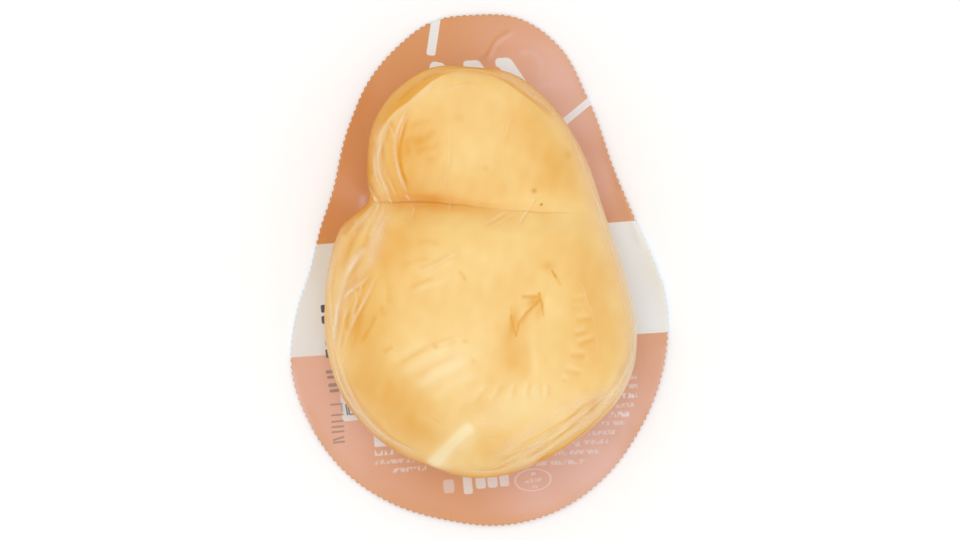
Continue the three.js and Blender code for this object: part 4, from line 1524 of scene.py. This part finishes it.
# The oval ring and the three short rows in it.
OVAL = dict(middle=(14.0, -59.0), half=(5.0, 3.0), turn=4, line=0.16, strength=0.55)
OVAL_ROWS = [
    ((13.4, -57.3), (14.8, -57.2), 0.45, 0.45),
    ((11.6, -59.3), (16.4, -59.0), 0.5, 0.45),
    ((13.4, -61.0), (15.2, -60.9), 0.45, 0.45),
]
ROW_CORNER = 0.1


def text_masks(g, table):
    """Rows of small lettering, as plain bars with uneven breaks."""
    bars = []
    for left, right, half_height, strength in table:
        middle, length, turn = straight(left, right)
        bars.append((middle, (length / 2, half_height), turn, ROW_CORNER, strength))
    upright = g.add("Mapping", Vector=g.place, Scale=(1.0, 0.45, 1.0)).outputs[0]
    letters = (g.noise(1500.0, 0.0, upright) - 0.5).scaled(7.0, 0.65).clamped()
    return [bar * letters for bar in box_masks(g, bars)]


def oval_mask(g):
    along, across = turned(g.x, g.y, OVAL["middle"], OVAL["turn"])
    radius = (along / OVAL["half"][0]).hypot(across / OVAL["half"][1])
    away = (radius - 1.0) * (sum(OVAL["half"]) / 2)
    return away.bell(OVAL["line"] * 1.4) * OVAL["strength"]


def above_line(g, height, slope):
    """1 above a leaning line and 0 below it."""
    return (g.y - g.x * slope - height).scaled(EDGE_CRISPNESS, 0.5).clamped()


def white_print(g):
    """Where the sheet is printed white: the band, bars, patches and lettering."""
    band = above_line(g, *BAND_BOTTOM) - above_line(g, *BAND_TOP)
    shapes = box_masks(g, WHITE_SHAPES + BOLD_BLOCKS)
    return largest(band, *shapes, *text_masks(g, TEXT_ROWS + OVAL_ROWS), oval_mask(g))


def print_material():
    """The printed film: salmon, a white band and plain shapes, under glossy varnish."""
    g = Graph("printed_film_look")
    cloud = g.noise(34.0, 1.0)
    patch = (cloud - 0.5).scaled(14.0, 0.5).clamped()
    # The sheen paints the film's reflection into the print as a pinkish tint, in patches.
    sheen = (g.attribute("sheen") * patch.scaled(0.25, 0.8)).clamped()
    salmon = g.mix(cloud, srgb(214, 147, 86), srgb(220, 153, 94))
    salmon = g.mix(sheen, salmon, srgb(233, 184, 160))
    # Painted reflection: the white is warmer at the left and cooler at the right.
    white = g.mix(g.x.scaled(0.012, 0.5).clamped(), WARM_WHITE, COOL_WHITE)
    colour = g.mix(white_print(g), salmon, white)
    colour = g.mix(largest(*box_masks(g, DATE_BLOCKS)), colour, DARK_INK)
    return g.finish(g.principled(colour, 0.45, Specular_IOR_Level=0.2))


def floor_material():
    g = Graph("white_floor")
    colour = g.mix(g.noise(4.0), (0.97, 0.97, 0.97, 1), (0.985, 0.985, 0.985, 1))
    return g.finish(g.principled(
        colour, 0.9, Emission_Color=(0.75, 0.9, 1.0, 1), Emission_Strength=0.05,
    ))


# The scene.

FLOOR_SIZE = 6
# Just under the sheet, so that the two never share a plane.
FLOOR_HEIGHT = -0.0005
WORLD_STRENGTH = 0.82
KEY_LIGHT = dict(place=(-0.2, 0.16, 1.6), target=(0, 0, 0), size=1.2, power=5.6, colour=(1, 1, 1))
VEIL_LIGHT = dict(
    place=(0.42, -0.36, 1.6), target=(0.02, -0.02, 0), size=0.55, power=1.0, colour=(0.93, 0.96, 1.0),
)
CAMERA_PLACE = (0.0007, 0.0001, 1.1)
CAMERA_TURN = -1.5
CAMERA_NEAR = 0.05
SENSOR_WIDTH = 36
VIEW_WIDTH = 0.2688


def add_piece(thing, material, node):
    thing.data.materials.append(material)
    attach(thing, "root")
    if node:
        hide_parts(node)


def area_light(name, place, target, size, power, colour):
    data = bpy.data.lights.new(name, "AREA")
    data.shape = "DISK"
    data.size = size
    data.energy = power
    data.color = colour
    lamp = bpy.data.objects.new(name, data)
    lamp.location = place
    lamp.rotation_euler = (Vector(target) - Vector(place)).to_track_quat("-Z", "Y").to_euler()
    bpy.context.scene.collection.objects.link(lamp)


def make_stage():
    bpy.ops.mesh.primitive_plane_add(size=FLOOR_SIZE, location=(0, 0, FLOOR_HEIGHT))
    floor = bpy.context.object
    floor.name = "floor"
    floor.data.materials.append(floor_material())
    world = bpy.data.worlds.new("studio")
    world.use_nodes = True
    background = world.node_tree.nodes["Background"]
    background.inputs["Color"].default_value = WHITE
    background.inputs["Strength"].default_value = WORLD_STRENGTH
    bpy.context.scene.world = world
    area_light("key", **KEY_LIGHT)
    area_light("veil", **VEIL_LIGHT)


def make_camera():
    """Straight above, with the pack leaning a little to the left."""
    data = bpy.data.cameras.new("camera")
    data.sensor_width = SENSOR_WIDTH
    data.lens = SENSOR_WIDTH * CAMERA_PLACE[2] / VIEW_WIDTH
    data.clip_start = CAMERA_NEAR
    camera = bpy.data.objects.new("camera", data)
    camera.location = CAMERA_PLACE
    camera.rotation_euler = (0, 0, math.radians(CAMERA_TURN))
    bpy.context.scene.collection.objects.link(camera)
    bpy.context.scene.camera = camera


def set_view():
    view = bpy.context.scene.view_settings
    view.view_transform = "Standard"
    view.look = "None"
    view.exposure = 0
    view.gamma = 1


make_camera()
cheese = make_cheese(dome_grid(crease=0.45, fill=0.0))
add_piece(cheese, cheese_material(), None)
clear_film = make_clear_film(dome_grid(crease=0.0, fill=0.35))
add_piece(clear_film, film_material(), "cheese_in_clear_film")
add_piece(make_printed_film(), print_material(), "printed_film")
make_stage()
set_view()
